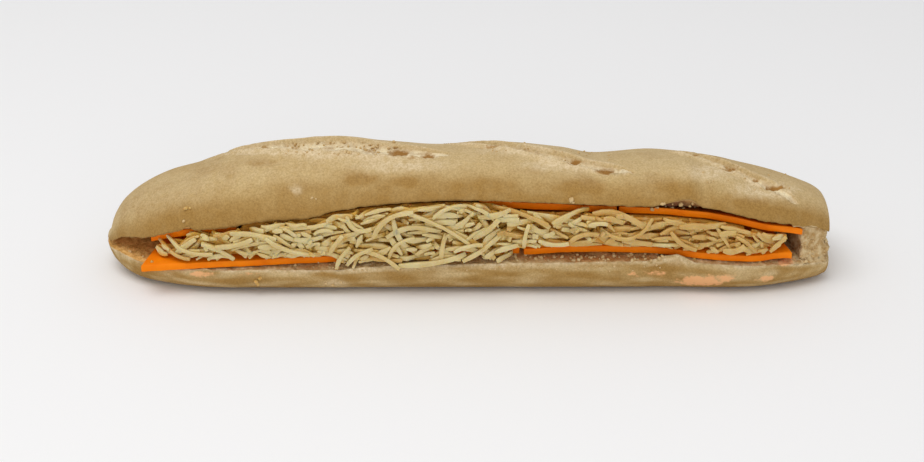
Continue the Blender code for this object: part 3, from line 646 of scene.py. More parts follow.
def makeBread():
    t = np.linspace(0.0, 1.0, breadGrid["rings"])
    xs = mix(loaf["left"], loaf["right"], mix(t, (1.0 - np.cos(math.pi * t)) / 2.0, 0.35))
    rings, middles = zip(*[breadRing(float(x)) for x in xs])
    rings = np.array(rings)
    places, cut, up = rings[..., :3], rings[..., 3], rings[..., 4]
    x, y, z = (places[..., axis] for axis in range(3))
    # outward directions from the neighbours along and around the loaf
    around = np.roll(places, -1, axis=1) - np.roll(places, 1, axis=1)
    normal = np.cross(around, np.gradient(places, axis=0))
    normal /= np.maximum(np.linalg.norm(normal, axis=-1, keepdims=True), 1e-9)
    coarse = noiseOver(places, spacings["coarse"])
    medium = noiseOver(places, spacings["medium"], 9.0)
    fine = noiseOver(places, spacings["fine"], 21.0)
    clump = noiseOver(places, spacings["clump"], 15.0) + 0.4 * fine
    grit = noiseOver(places, spacings["grit"], 33.0)
    crag = 0.6 * medium + 0.5 * fine
    isLid = up > 0.0
    isCrust = (cut < 0.5) & ~isLid
    crown = smoothStep(*zones["crown"], up)
    relief, within, lips, creases = scoreRelief(places, crag, clump)
    within = within * crown
    lowered = places.copy()
    lowered[..., 2] += crown * relief
    right, down = seenAt(lowered)
    # the marks' outlines wander, as baked and torn patches do
    right = right + 4.0 * medium + 2.5 * fine
    down = down + 1.6 * noiseOver(places, spacings["medium"], 71.0) + 1.2 * clump
    facing = (y < 16.0) * (normal[..., 1] < 0.6)
    marks = {name: ovals(right, down, spots) * facing for name, spots in breadMarks.items()}
    hole = marks["hole"] * isLid
    pit = marks["shadedHollow"] * smoothStep(*zones["pit"], crag + 0.3 * grit) * isLid
    # each part of the bread is moved along its normals: lid, crust, crumb, scores and marks
    wave = {name: noiseOver(places, spacings[name], 3.0) for name in ("lid", "crust")}
    move = np.where(isLid, moves["lid"][0] * coarse * up + moves["lid"][1] * wave["lid"], 0.0)
    move += np.where(isCrust, moves["crust"][0] * fine + moves["crust"][1] * wave["crust"], 0.0)
    move += cut * (moves["crumb"][0] * crag + moves["crumb"][1] * grit)
    move += within * (moves["score"][0] * crag + moves["score"][1] * grit)
    move += (marks["blister"] - marks["dent"]) * isLid
    move -= moves["pit"] * pit + moves["hole"] * hole ** 2
    torn = smoothStep(*zones["tornFrom"], x) * smoothStep(*zones["tornAbove"], z)
    torn *= 1.0 - smoothStep(*zones["tornBelow"], z)
    web = cut * smoothStep(*zones["webFrom"], x) * (1.0 - smoothStep(*zones["webTo"], x))
    move += torn * (moves["torn"][0] * crag + moves["torn"][1] * clump)
    move += web * (moves["web"][0] * clump + moves["web"][1] * crag)
    # the lid's rim is a little ragged
    ragged = noiseAlong(places, spacings["rim"], 50.0)
    ragged += 0.5 * noiseAlong(places, spacings["rimFine"], 60.0)
    rim = isLid * (y < 0.0) * (1.0 - smoothStep(*zones["lidRim"], up))
    shaped = places + normal * move[..., None]
    shaped[..., 2] += crown * relief - moves["rim"] * rim * ragged
    shaped[..., 2] = np.where(z < 0.6, np.maximum(shaped[..., 2], 0.0), shaped[..., 2])
    lowCap = capRings(shaped[0], middles[0], -0.4, 0.0)
    highCap = capRings(shaped[-1], middles[-1], 0.0, 0.8)
    surface = np.concatenate([lowCap[::-1], shaped, highCap])
    # the lid's lower half is darkened with painted shade, baked patches are brown and the crust is
    # browner towards the underside; floury on the crown and the rims
    lidLow = isLid * (1.0 - smoothStep(*zones["lidLow"], up)) * (y < 5.0)
    bakeAndShade = 0.75 * lidLow + 0.2 * isLid * (1.0 - crown) + marks["bakeAndShade"]
    bakeAndShade += np.where(isCrust, 0.55 + 0.4 * (1.0 - smoothStep(*zones["underside"], z)), 0.0)
    flour = 0.3 * crown + marks["flour"] + lips * crown
    edges = np.array([curve(baseEdgeKnots, place) for place in xs])[:, None]
    flour += 0.85 * isCrust * smoothStep(*zones["baseRim"], z - edges) * (y < 0.0)
    streaks = noiseOver(places * np.array((0.2, 1.0, 1.0)), spacings["streaks"], 41.0) * isCrust
    bakeAndShade, flour = bakeAndShade - 0.9 * streaks, flour + 0.7 * streaks
    # the lower half's rim of crumb and the torn web are duller than the pocket, and a band of
    # painted shade lies below the right slice
    widths = np.array([halfWidth(place) for place in xs])[:, None]
    rimCrumb = smoothStep(*zones["rimBack"], y + widths) * smoothStep(*zones["rimFrom"], x)
    rimCrumb *= z < 20.0
    rimCrumb = np.maximum(rimCrumb, smoothStep(*zones["webCrumb"], x))
    shadeBand = marks["shadeBand"] * cut
    # the pocket's inside gets a painted warm shade
    pocket = cut * (1.0 - smoothStep(*zones["pocketTo"], x)) * (1.0 - 0.85 * rimCrumb)
    # painted shade darkens the scores' hollows, holes and creases
    shadedHollow = np.maximum(marks["shadedHollow"] * np.maximum(within, 0.45), hole)
    fields = dict(
        crumb=np.maximum(np.maximum(cut, within), torn), bakeAndShade=bakeAndShade.clip(0.0, 1.0),
        flour=flour.clip(0.0, 1.0), stain=marks["stain"], gap=marks["gap"] * cut, burst=within,
        shadedHollow=np.maximum(shadedHollow, 0.5 * creases * crown), inside=np.maximum(pocket, shadeBand),
        rimCrumb=rimCrumb * 0.8 * cut * (1.0 - shadeBand), shadeBand=shadeBand,
    )
    for name, values in fields.items():
        low = np.repeat(values[:1], breadGrid["capSteps"], axis=0)
        high = np.repeat(values[-1:], breadGrid["capSteps"], axis=0)
        if name == "crumb":
            low, high = low * 0.0, np.maximum(high, 0.9)
        fields[name] = np.concatenate([low, values, high])
    return wrapGrid("bread_loaf", surface, fields)


# a flat grid is added, and its rows are wrapped into rings and merged along the seam
def wrapGrid(name, surface, fields):
    ringCount, around = surface.shape[:2]
    piece = startPiece(name, bpy.ops.mesh.primitive_grid_add, x_subdivisions=ringCount - 1,
                       y_subdivisions=around, size=1.0)
    flat = np.zeros(len(piece.data.vertices) * 3)
    piece.data.vertices.foreach_get("co", flat)
    flat = flat.reshape(-1, 3)
    ring = np.rint((flat[:, 0] + 0.5) * (ringCount - 1)).astype(int)
    step = np.rint((flat[:, 1] + 0.5) * around).astype(int) % around
    piece.data.vertices.foreach_set("co", inFrame(surface[ring, step]).ravel())
    for fieldName, values in fields.items():
        addField(piece.data, fieldName, values[ring, step])
    piece.data.update()
    turnOutward(merge=0.00001)
    bpy.ops.object.shade_smooth()
    return piece


print("panini: bread")
bread = makeBread()
finishPiece(bread, makeBreadMaterial(), ["bread"])


# slices
sliceShape = dict(thickness=2.6, gap=0.35, droop=0.12, lowerBack=2.0, upperBack=-3.0,
                  cuts=(70, 14, 1), edgeRound=0.45, edgeWave=0.35, sag=0.12)
lowerSlices = {
    "lower_slice_left": dict(
        front=[(-121.0, -30.3), (-90.0, -29.8), (-46.5, -26.8)], back=(-112.0, -47.5),
        off=[(-121, 0.0), (-46, 0.4)]),
    "lower_slice_middle": dict(
        front=[(-45.3, -25.0), (-10.0, -26.0), (18.0, -25.0)], back=(-45.0, 18.0),
        off=[(-45, 0.2), (18, 0.2)]),
    "lower_slice_right": dict(
        front=[(19.5, -26.0), (45.0, -26.0), (64.0, -26.5), (85.0, -28.8), (100.0, -29.0),
               (118.5, -25.4)],
        back=(20.0, 110.5), off=[(20, 0.2), (40, 0.9), (66, 0.4), (90, 0.0), (104, 0.2),
                                 (118, 1.2)]),
}
upperSlices = {
    "upper_slice_left": dict(
        front=[(-118.5, -19.5), (-106.0, -23.5), (-86.0, -24.0)], back=(-110.0, -86.0),
        off=[(-118, 0.0), (-86, 0.2)]),
    "upper_slice_middle": dict(
        front=[(3.0, -23.5), (25.0, -24.5), (53.3, -24.5)], back=(3.0, 53.3),
        off=[(3, 0.2), (50, 0.6)]),
    "upper_slice_right": dict(
        front=[(54.0, -25.0), (76.0, -26.5), (108.0, -26.5), (122.2, -22.8)], back=(55.0, 112.0),
        off=[(54, 0.4), (70, 0.6), (84, 1.6), (104, 1.0), (120, 0.9)]),
}
orangeLook = dict(light=(0.9, 0.23, 0.002), deep=(0.8, 0.175, 0.001), tonedAndShaded=(0.5, 0.1, 0.001),
                  fleck=(0.84, 0.26, 0.01), fleckShare=0.3, cloudSpacing=12.0, fleckSpacing=0.9,
                  gloss=0.42, dull=0.62, glow=0.08, glowColour=(1.0, 0.4, 0.05), sheen=0.1)


def sliceUnderside(one, isLower, x, y):
    if isLower:
        sunk = sliceShape["droop"] * max(0.0, -halfWidth(x) - y)
        return baseTop(x, y) + sliceShape["gap"] + curve(one["off"], x) - sunk
    return lidUnder(x, y) - sliceShape["gap"] - curve(one["off"], x) - sliceShape["thickness"]


# a block is cut finely in edit mode, then laid on its bread, and its edges are rounded
def makeSlice(name, one, isLower):
    piece = startPiece(name + "_cheese", bpy.ops.mesh.primitive_cube_add, size=1.0)
    for axis, cuts in enumerate(sliceShape["cuts"]):
        cutAlong(piece, axis, 0.01, cuts)
    front, back = one["front"], one["back"]
    backY = sliceShape["lowerBack"] if isLower else sliceShape["upperBack"]
    for vertex in piece.data.vertices:
        along, across, level = vertex.co.x + 0.5, vertex.co.y + 0.5, vertex.co.z + 0.5
        frontX = mix(front[0][0], front[-1][0], along)
        ripple = noise.noise(Vector((frontX / 6.0, 2.0 * level, 4.0)))
        frontY = curve(front, frontX) + sliceShape["edgeWave"] * abs(ripple)
        x = mix(frontX, mix(back[0], back[1], along), across)
        y = mix(frontY, backY, across)
        sag = sliceShape["sag"] * noise.noise(Vector((x / 9.0, y / 9.0, 7.0)))
        z = sliceUnderside(one, isLower, x, y) + level * sliceShape["thickness"] + sag
        vertex.co = Vector(inFrame(np.array((x, y, z))))
    bevel = piece.modifiers.new("soft_edges", "BEVEL")
    bevel.width = sliceShape["edgeRound"] * mm
    bevel.segments = 2
    bevel.limit_method = "ANGLE"
    bevel.angle_limit = math.radians(50.0)
    alone(piece)
    bpy.ops.object.modifier_apply(modifier=bevel.name)
    turnOutward()
    bpy.ops.object.shade_smooth_by_angle(angle=math.radians(40.0))
    return piece


print("panini: slices")
orangeCheese = makeCheeseMaterial("orange_slices", orangeLook)
slices = []
for isLower, group in ((True, lowerSlices), (False, upperSlices)):
    for name, one in group.items():
        slices.append(makeSlice(name, one, isLower))
        finishPiece(slices[-1], orangeCheese, [name])


# grated heap
heap = dict(
    left=-113.5, right=113.0, mostLeft=-116.5, mostRight=116.5, coreLeft=-104.0, coreRight=100.0,
    coreSetback=5.4, coreBack=-8.0, coreSteps=90, coreLumps=1.6, margin=0.35, cell=0.5,
    clearance=0.12, reach=1.0, mainReach=3.2, spillLeft=-50.0, spillRight=17.0, spillDrop=1.2,
    hang=0.5, tops=300, topShare=(-0.3, 0.8), topTurn=0.2, topLength=(7.0, 20.0), count=1000,
    bits=220, pokes=60, choices=5, tries=10, easing=0.86, seed=23, creamFrom=(10.0, 70.0),
    buried=(0.2, 3.0), far=99.0, stride=0.618,
)
# where the upper slices' faces stay in view: from and to along X, and how far strips rise over them
roofs = dict(upper_slice_left=(-119.0, -104.0, 0.2), upper_slice_middle=(6.0, 54.0, 0.7),
             upper_slice_right=(58.0, 125.0, 0.0))
strip = dict(width=(1.2, 2.2), thickness=(0.8, 1.3), length=(7.0, 28.0, 13.0), bitLength=(4.0, 8.0),
             turn=0.8, bow=0.09, roll=1.2, lift=2.4, taper=(0.35, 0.9), stiffness=0.7, sink=0.25,
             spots=9, block=8.0, segments=6, edge=0.09)
# strips that stand out: middle x and z, length, angle in degrees, bow
mainStrips = [
    (-12, 29, 27, -28, 1.5), (-29, 31, 18, 35, 3.0), (-8, 36, 13, 23, 2.0), (7, 29, 16, 45, -1.0),
    (-21, 27, 20, 7, 3.5), (-26, 21, 13, 42, 2.5), (-10, 21, 10, 79, 0.5), (-14, 15, 25, 10, -1.0),
    (4, 20, 17, 37, -0.6), (-33, 16, 16, -27, 1.5), (18, 34, 21, -19, 1.2), (36, 33, 14, 15, 1.5),
    (55, 32, 22, -19, 3.0), (57, 27, 19, 13, -5.5), (88, 29, 23, 8, -5.5), (77, 22, 12, -41, -1.2),
    (-79, 26, 17, -7, 0.8), (-67, 20, 17, -27, -1.5), (-49, 22, 9, 56, 0.5),
    (-41, 29, 10, -26, -3.0),
    (-47, 16, 10, 62, 1.0), (-41, 17, 12, 37, 1.5), (-109, 16.5, 13, -18, -1.0),
    (-103, 20, 18, -14, -1.5),
    (-107, 18.5, 15, -27, -1.5), (-92, 18, 13, -30, 1.0), (-86, 22, 14, 12, -1.0),
    (46, 30, 7, 5, 0.5), (84, 29, 17, -1, 0.5), (-1, 21, 11, 17, 1.0), (20, 25, 10, 80, 0.5),
    (41, 25, 11, 15, 1.5), (30, 20, 11, -7, -1.2), (96, 19, 8, 20, -1.0),
]
gratedLook = dict(fleckShare=0.3, cloudSpacing=7.0, fleckSpacing=0.6, gloss=0.4, dull=0.6, glow=0.5,
                  sheen=0.3)
whiteLook = dict(gratedLook, light=(0.635, 0.54, 0.285), deep=(0.575, 0.45, 0.20),
                 tonedAndShaded=(0.68, 0.39, 0.055), fleck=(0.80, 0.75, 0.50), glowColour=(1.0, 0.7, 0.25))
creamLook = dict(gratedLook, light=(0.60, 0.43, 0.165), deep=(0.52, 0.33, 0.10),
                 tonedAndShaded=(0.60, 0.29, 0.035), fleck=(0.80, 0.62, 0.40), fleckShare=0.35,
                 glowColour=(1.0, 0.6, 0.2))
# the heap's core is coloured warm and dark, as painted shade seen between the strips
creviceShadeLook = dict(light=(0.70, 0.38, 0.06), deep=(0.60, 0.27, 0.03), tonedAndShaded=(0.3, 0.1, 0.01),
                fleck=(0.60, 0.40, 0.12), fleckShare=0.5, cloudSpacing=4.0, fleckSpacing=0.9,
                gloss=0.5, dull=0.7, glow=0.1, glowColour=(1.0, 0.6, 0.2), sheen=0.2)


def overSlice(front, x, y):
    beside = front[0][0] - heap["margin"] < x < front[-1][0] + heap["margin"]
    return beside and y > curve(front, x) - heap["margin"]


def heapFloor(x, y):
    height = baseTop(x, y) + sliceShape["gap"]
    if y < loaf["lipWidth"] + sliceShape["gap"] - halfWidth(x):
        height += curve(crustFlapKnots, x)
    for one in lowerSlices.values():
        if overSlice(one["front"], x, y):
            height = max(height, sliceUnderside(one, True, x, y) + sliceShape["thickness"] + 0.1)
    return height


def heapCeiling(x, y):
    height = lidUnder(x, y) - sliceShape["gap"]
    for one in upperSlices.values():
        if overSlice(one["front"], x, y):
            height = min(height, sliceUnderside(one, False, x, y) - 0.1)
    return height


def coreFront(x):
    return halfWidth(x) - heap["coreSetback"]


def sliceFront(x):
    reach = 0.0
    for one in lowerSlices.values():
        if one["front"][0][0] <= x <= one["front"][-1][0]:
            reach = max(reach, -curve(one["front"], x))
    return reach


# room for the strips, measured once over the loaf's plan and over the heap's front
class HeapRoom:
    def __init__(self):
        cell, thick = heap["cell"], strip["width"][1] / 2.0
        self.xs = np.arange(-128.0, 124.0 + cell, cell)
        self.ys = np.arange(-36.0, 2.0 + cell, cell)
        self.zs = np.arange(6.0, 46.0 + cell, cell)
        self.floor = np.zeros((len(self.xs), len(self.ys)))
        self.ceiling = np.zeros_like(self.floor)
        self.edge = np.array([curve(baseEdgeKnots, x) for x in self.xs])
        self.crust = np.array([halfWidth(x) for x in self.xs])
        self.shelf = np.full(len(self.xs), -heap["far"])
        self.roof = np.full(len(self.xs), heap["far"])
        self.sliceEdge = np.array([sliceFront(x) for x in self.xs])
        self.depth = np.zeros((len(self.xs), len(self.zs)))
        for i, x in enumerate(self.xs):
            if not heap["spillLeft"] < x < heap["spillRight"] and self.sliceEdge[i] > 0.0:
                self.shelf[i] = heapFloor(x, 2.0 - coreFront(x)) - heap["hang"]
            for sliceName, (left, right, ease) in roofs.items():
                upper = upperSlices[sliceName]
                if left < x < right:
                    under = sliceUnderside(upper, False, x, curve(upper["front"], x))
                    self.roof[i] = under + ease
            for j, y in enumerate(self.ys):
                self.floor[i, j] = heapFloor(x, y)
                self.ceiling[i, j] = heapCeiling(x, max(y, lidFront(x)))
            reach = coreFront(x)
            onSlice = np.where(self.zs < heapFloor(x, -reach) + thick,
                               self.sliceEdge[i] + heap["margin"] + strip["sink"], reach)
            onCrust = np.where(self.zs < self.edge[i] + thick,
                               self.crust[i] + sliceShape["gap"] + strip["sink"], reach)
            self.depth[i] = np.maximum(reach, np.maximum(onSlice, onCrust))

    def index(self, values, axis):
        return np.rint((values - axis[0]) / heap["cell"]).astype(int).clip(0, len(axis) - 1)

    def depthAt(self, x, z):
        return self.depth[self.index(x, self.xs), self.index(z, self.zs)]

    # true where no place of a strip enters bread or slice or stands out too far
    def isClear(self, places, reach):
        x, y, z = places.T
        i, j = self.index(x, self.xs), self.index(y, self.ys)
        before = -self.crust[i] - y
        if np.any(before > reach) or x.min() < heap["mostLeft"] or x.max() > heap["mostRight"]:
            return False
        spilled = (x > heap["spillLeft"]) & (x < heap["spillRight"])
        ahead = math.tan(eyeAngle) * np.maximum(0.0, -y - self.sliceEdge[i])
        floor = self.floor[i, j] + heap["clearance"]
        low = np.where(before < sliceShape["gap"], floor, -heap["far"])
        low = np.maximum(low, self.edge[i] - np.where(spilled, heap["spillDrop"], 0.0))
        low = np.maximum(low, self.shelf[i] + ahead)
        high = self.ceiling[i, j] - heap["clearance"]
        if reach < heap["mainReach"]:
            high = np.minimum(high, self.roof[i] + ahead - heap["clearance"])
        return not (np.any(z < low) or np.any(z > high))

    def cover(self, x, z, depth, radius):
        steps = int(math.ceil(radius / heap["cell"]))
        for a, b, value in zip(self.index(x, self.xs), self.index(z, self.zs), depth):
            patch = self.depth[max(a - steps, 0):a + steps + 1, max(b - steps, 0):b + steps + 1]
            np.maximum(patch, value, out=patch)


# one straight strip is modelled once: a block with softened edges, cut along its length
def modelStrip():
    piece = startPiece("straight_strip", bpy.ops.mesh.primitive_cube_add, size=1.0,
                       scale=(strip["block"], 1.0, 1.0))
    bpy.ops.object.transform_apply(location=False, rotation=False, scale=True)
    bpy.ops.object.mode_set(mode="EDIT")
    bpy.ops.mesh.select_all(action="SELECT")
    bpy.ops.mesh.bevel(offset=strip["edge"], segments=1, affect="EDGES")
    bpy.ops.object.mode_set(mode="OBJECT")
    cutAlong(piece, 0, strip["block"] / 2.0, strip["segments"])
    return takeShape(piece)


# bends the straight strip along a line of spots
def bendStrip(points, line, width, thickness, roll, taper):
    along = points[:, 0] / strip["block"] + 0.5
    at = np.linspace(0.0, 1.0, len(line))

    def lineAt(shares):
        return np.stack([np.interp(shares, at, line[:, i]) for i in range(3)], axis=1)

    tangent = lineAt(np.minimum(along + 0.08, 1.0)) - lineAt(np.maximum(along - 0.08, 0.0))
    tangent /= np.linalg.norm(tangent, axis=1, keepdims=True)
    outward = np.tile((0.0, -1.0, 0.02), (len(points), 1))
    side = np.cross(tangent, outward)
    side /= np.linalg.norm(side, axis=1, keepdims=True)
    outward = np.cross(side, tangent)
    turn = (roll * (along - 0.3))[:, None]
    turnedSide = side * np.cos(turn) + outward * np.sin(turn)
    turnedOut = outward * np.cos(turn) - side * np.sin(turn)
    size = mix(1.0, taper, np.abs(2.0 * along - 1.0) ** 2.6)[:, None]
    size = size * (1.0 + 0.12 * np.sin(9.0 * along + 7.0 * taper))[:, None]
    across = turnedSide * size * points[:, 1:2] * width
    return lineAt(along) + across + turnedOut * size * points[:, 2:3] * thickness


# how a stiff strip lies over what is below it: it bridges hollows and lifts at one end
def restingLine(room, x, z, length, angle, bow, lift, thickness):
    t = np.linspace(-0.5, 0.5, strip["spots"])
    lineX = x + math.cos(angle) * t * length - math.sin(angle) * bow * (0.5 - 4.0 * t * t)
    lineZ = z + math.sin(angle) * t * length + math.cos(angle) * bow * (0.5 - 4.0 * t * t)
    support = room.depthAt(lineX, lineZ)
    bridge = support.copy()
    for before in range(len(t)):
        for after in range(before + 2, len(t)):
            between = np.arange(before + 1, after)
            share = (between - before) / (after - before)
            straight = mix(support[before], support[after], share)
            bridge[between] = np.maximum(bridge[between], straight)
    depth = mix(support, bridge, strip["stiffness"])
    smoothed = np.convolve(np.pad(depth, 1, mode="edge"), (0.25, 0.5, 0.25), mode="valid")
    end = t + 0.5 if lift > 0.0 else 0.5 - t
    depth = np.maximum(smoothed, depth - 0.3) + abs(lift) * end * end
    return np.stack([lineX, -(depth + thickness / 2.0 - strip["sink"]), lineZ], axis=1), depth


def layStrip(room, points, rng, x, z, length, angle, bow, lift, roll, taper, reach):
    width, thickness = rng.uniform(*strip["width"]), rng.uniform(*strip["thickness"])
    line, depth = restingLine(room, x, z, length, angle, bow, lift, thickness)
    shaped = bendStrip(points, line, width, thickness, roll, taper)
    if not room.isClear(shaped, reach):
        return None
    fine = np.linspace(0, len(line) - 1, int(length / heap["cell"]))
    at = np.arange(len(line))
    room.cover(np.interp(fine, at, line[:, 0]), np.interp(fine, at, line[:, 2]),
               np.interp(fine, at, depth) + thickness - strip["sink"], 0.38 * width)
    return shaped


def heightLimits(room, x):
    front = -coreFront(x) - 3.0
    if heap["spillLeft"] < x < heap["spillRight"]:
        low = baseTop(x, front) + 1.0
    else:
        low = heapFloor(x, 2.0 - coreFront(x)) + 0.8
    roof = float(room.roof[room.index(x, room.xs)])
    return low, max(low + 0.5, min(heapCeiling(x, front), roof + 0.6) - 0.95)


def layHeap(points):
    rng = random.Random(heap["seed"])
    room = HeapRoom()
    laid = []

    # the next middle of an even spread between the heap's ends, drawn in by left and right
    def spread(i, start=0.0, left=0.0, right=0.0):
        share = (i * heap["stride"] + start) % 1.0
        return mix(heap["left"] + left, heap["right"] - right, share)

    # of a few places, the one where the heap lies furthest behind the crust is filled first
    def hollowest(middle, away):
        best = None
        for choice in range(heap["choices"]):
            x = rng.uniform(middle - away, middle + away)
            z = mix(*heightLimits(room, x), rng.random())
            depth = float(room.depthAt(x, z)) - halfWidth(x)
            if best is None or depth < best[0]:
                best = (depth, x, z)
        return best[1:]

    def tryStrip(x, z, length, angle, bow, lift):
        roll, taper = rng.uniform(-strip["roll"], strip["roll"]), rng.uniform(*strip["taper"])
        for attempt in range(heap["tries"]):
            ease = heap["easing"] ** attempt
            shaped = layStrip(room, points, rng, x, z, length * math.sqrt(ease), angle * ease,
                              bow * length * ease, lift * ease, roll * ease, taper, heap["reach"])
            if shaped is not None:
                laid.append((x, shaped))
                return

    for i in range(heap["count"]):
        x, z = hollowest(spread(i), 9.0)
        lift = rng.uniform(-strip["lift"], strip["lift"])
        tryStrip(x, z, rng.triangular(*strip["length"]), rng.gauss(0.0, strip["turn"]),
                 rng.gauss(0.0, strip["bow"]), lift)
    for x, z, length, angle, bow in mainStrips:
        roll = rng.uniform(-0.5, 0.5)
        for attempt in range(2 * heap["tries"]):
            nudge = 0.35 * ((attempt + 1) // 2) * (1 if attempt % 2 else -1)
            turned = math.radians(angle) * 0.96 ** attempt
            shaped = layStrip(room, points, rng, x, z + nudge, length, turned, bow, 0.4, roll, 0.8,
                              heap["mainReach"])
            if shaped is not None:
                laid.append((x, shaped))
                break
    # flatter strips right under the lid's edge
    for i in range(heap["tops"]):
        middle = spread(i, 0.4)
        choices = [middle + rng.uniform(-6.0, 6.0) for choice in range(heap["choices"])]
        highs = [heightLimits(room, x)[1] - rng.uniform(*heap["topShare"]) for x in choices]
        depths = room.depthAt(np.array(choices), np.array(highs))
        best = int(np.argmin(depths - np.array([halfWidth(x) for x in choices])))
        x, z = choices[best], highs[best]
        slope = (curve(lidEdgeKnots, x + 4.0) - curve(lidEdgeKnots, x - 4.0)) / 8.0
        tryStrip(x, z, rng.uniform(*heap["topLength"]), slope + rng.gauss(0.0, heap["topTurn"]),
                 rng.gauss(0.0, 0.03), rng.uniform(-0.8, 0.8))
    # short bits that have broken off
    for i in range(heap["bits"]):
        x, z = hollowest(spread(i, 0.2, 4.0, 3.0), 5.0)
        tryStrip(x, z, rng.uniform(*strip["bitLength"]), rng.uniform(-1.5, 1.5), 0.0,
                 rng.uniform(-0.6, 0.6))
    # ends that point out of the heap
    t = np.linspace(0.0, 1.0, strip["spots"])
    for i in range(heap["pokes"]):
        x = spread(i, 0.31, 6.0, 6.0)
        z = mix(*heightLimits(room, x), rng.uniform(0.1, 0.9))
        front = float(room.depthAt(x, z)) + rng.uniform(-0.2, 0.9)
        sideways, upward = rng.uniform(-1.5, 1.5), rng.uniform(-0.5, 0.3)
        line = np.stack([x + sideways * 7.0 * (t - 1.0), -front + 6.0 * (1.0 - t),
                         z + upward * 5.0 * (t - 1.0)], axis=1)
        shaped = bendStrip(points, line, rng.uniform(*strip["width"]),
                           rng.uniform(*strip["thickness"]), 0.4, 0.9)
        if room.isClear(shaped, heap["reach"] + 0.8):
            laid.append((x, shaped))
    return room, laid


# copies of one shape become one piece, each place with a tone of its own: random on the crumbs,
# painted depth shade on the grated strips
def joinCopies(name, faces, copies, tones):
    size = len(copies[0])
    allFaces = [tuple(i + n * size for i in face) for n in range(len(copies)) for face in faces]
    mesh = bpy.data.meshes.new(name)
    mesh.from_pydata(inFrame(np.concatenate(copies)).tolist(), [], allFaces)
    addField(mesh, "tone_and_depth_shade", np.concatenate(tones))
    piece = bpy.data.objects.new(name, mesh)
    bpy.context.scene.collection.objects.link(piece)
    alone(piece)
    turnOutward()
    bpy.ops.object.shade_smooth_by_angle(angle=math.radians(50.0))
    return piece


# the imported inside of the heap, seen only between the strips; it is coloured warm and dark as
# painted shade
def makeCore():
    rings = []
    for x in np.linspace(heap["coreLeft"], heap["coreRight"], heap["coreSteps"]):
        ys = np.linspace(-coreFront(x), heap["coreBack"], 5)
        low = [heapFloor(x, y + 1.5) + 0.3 for y in ys]
        high = [heapCeiling(x, y + 1.5) - 0.3 for y in ys]
        middle = [(a + b) / 2.0 for a, b in zip(low, high)]
        low = [min(a, m - 0.1) for a, m in zip(low, middle)]
        high = [max(b, m + 0.1) for b, m in zip(high, middle)]
        wall = np.linspace(high[0], low[0], 8)[1:-1]
        ring = [(x, y, z) for y, z in zip(ys, low)]
        ring += [(x, y, z) for y, z in zip(ys[::-1], high[::-1])]
        rings.append(ring + [(x, ys[0], z) for z in wall])
    surface = np.array(rings)
    lumps = noiseOver(surface, 2.2, 12.0)
    surface[:, 10:, 1] -= heap["coreLumps"] * lumps[:, 10:]
    ends = []
    for ring in (surface[0], surface[-1]):
        centre = ring.mean(axis=0)
        ends.append(np.array([mix(ring, centre, inner) for inner in (0.5, 1.0)]))
    surface = np.concatenate([ends[0][::-1], surface, ends[1]])
    return wrapGrid("heap_core", surface, dict(tone_and_depth_shade=np.zeros(surface.shape[:2])))


print("panini: grated cheese")
stripPoints, stripFaces = modelStrip()
room, laid = layHeap(stripPoints)
rng = random.Random(5)
kinds = {"white_shreds": [], "cream_shreds": []}
for x, shaped in laid:
    isCream = rng.random() < float(smoothStep(*heap["creamFrom"], x)) * 0.88 + 0.05
    # strips deeper in the heap get a warmer painted shade, standing in for light that reaches them
    # through others
    buried = room.depthAt(shaped[:, 0], shaped[:, 2]) + shaped[:, 1]
    tones = smoothStep(*heap["buried"], buried) * 0.9 + rng.uniform(0.0, 0.1)
    kinds["cream_shreds" if isCream else "white_shreds"].append((shaped, tones))
looks = {"white_shreds": makeCheeseMaterial("white_grated", whiteLook),
         "cream_shreds": makeCheeseMaterial("cream_grated", creamLook)}
for name, members in kinds.items():
    piece = joinCopies(name, stripFaces, *zip(*members))
    finishPiece(piece, looks[name], ["grated_cheese"])
creviceShadeCheese = makeCheeseMaterial("crevice_shade_cheese", creviceShadeLook)
finishPiece(makeCore(), creviceShadeCheese, ["grated_cheese"])


# crumbs and flour lumps, each where the photograph shows it: right, down, half size in mm
crumbSpots = dict(
    bread=[(571, 200, 1.0), (573, 202.5, 0.5), (312, 198, 0.55), (316, 199, 0.4), (184, 221, 0.6),
           (326, 283, 0.5), (333, 284.5, 0.7), (341, 282, 0.55), (397, 267, 0.6), (406, 265.5, 0.8),
           (415, 267.5, 0.6), (652, 209, 0.6), (663, 205, 0.8), (672, 208, 0.6), (681, 204, 0.8),
           (689, 207, 0.7),
           (130, 252, 0.6), (143, 257, 0.5), (805, 262, 0.7), (812, 256, 0.6)],
    cheese=[(186, 208.5, 0.8), (190, 208, 0.5), (256, 281, 1.1), (260, 278, 0.8), (258, 284, 0.6),
            (152, 262, 0.5),
            (694, 259, 0.6), (760, 262, 0.5)],
)
# areas of smaller crumbs: from and to along the photograph, the same down it, count, half sizes
crumbScatter = dict(
    rim=((338, 660), (264, 271), 60, (0.15, 0.4)), shadeBand=((512, 664), (254, 261), 64, (0.25, 0.75)),
    left=((295, 345), (262, 268), 16, (0.25, 0.6)), floor=((285, 400), (142, 155), 60, (0.25, 0.6)),
    second=((560, 612), (150, 168), 16, (0.2, 0.45)), end=((800, 829), (236, 262), 26, (0.25, 0.6)),
    tear=((655, 700), (203, 209), 12, (0.3, 0.6)), crest=((700, 790), (165, 190), 24, (0.2, 0.4)),
    top=((470, 560), (140, 152), 20, (0.2, 0.4)),
)


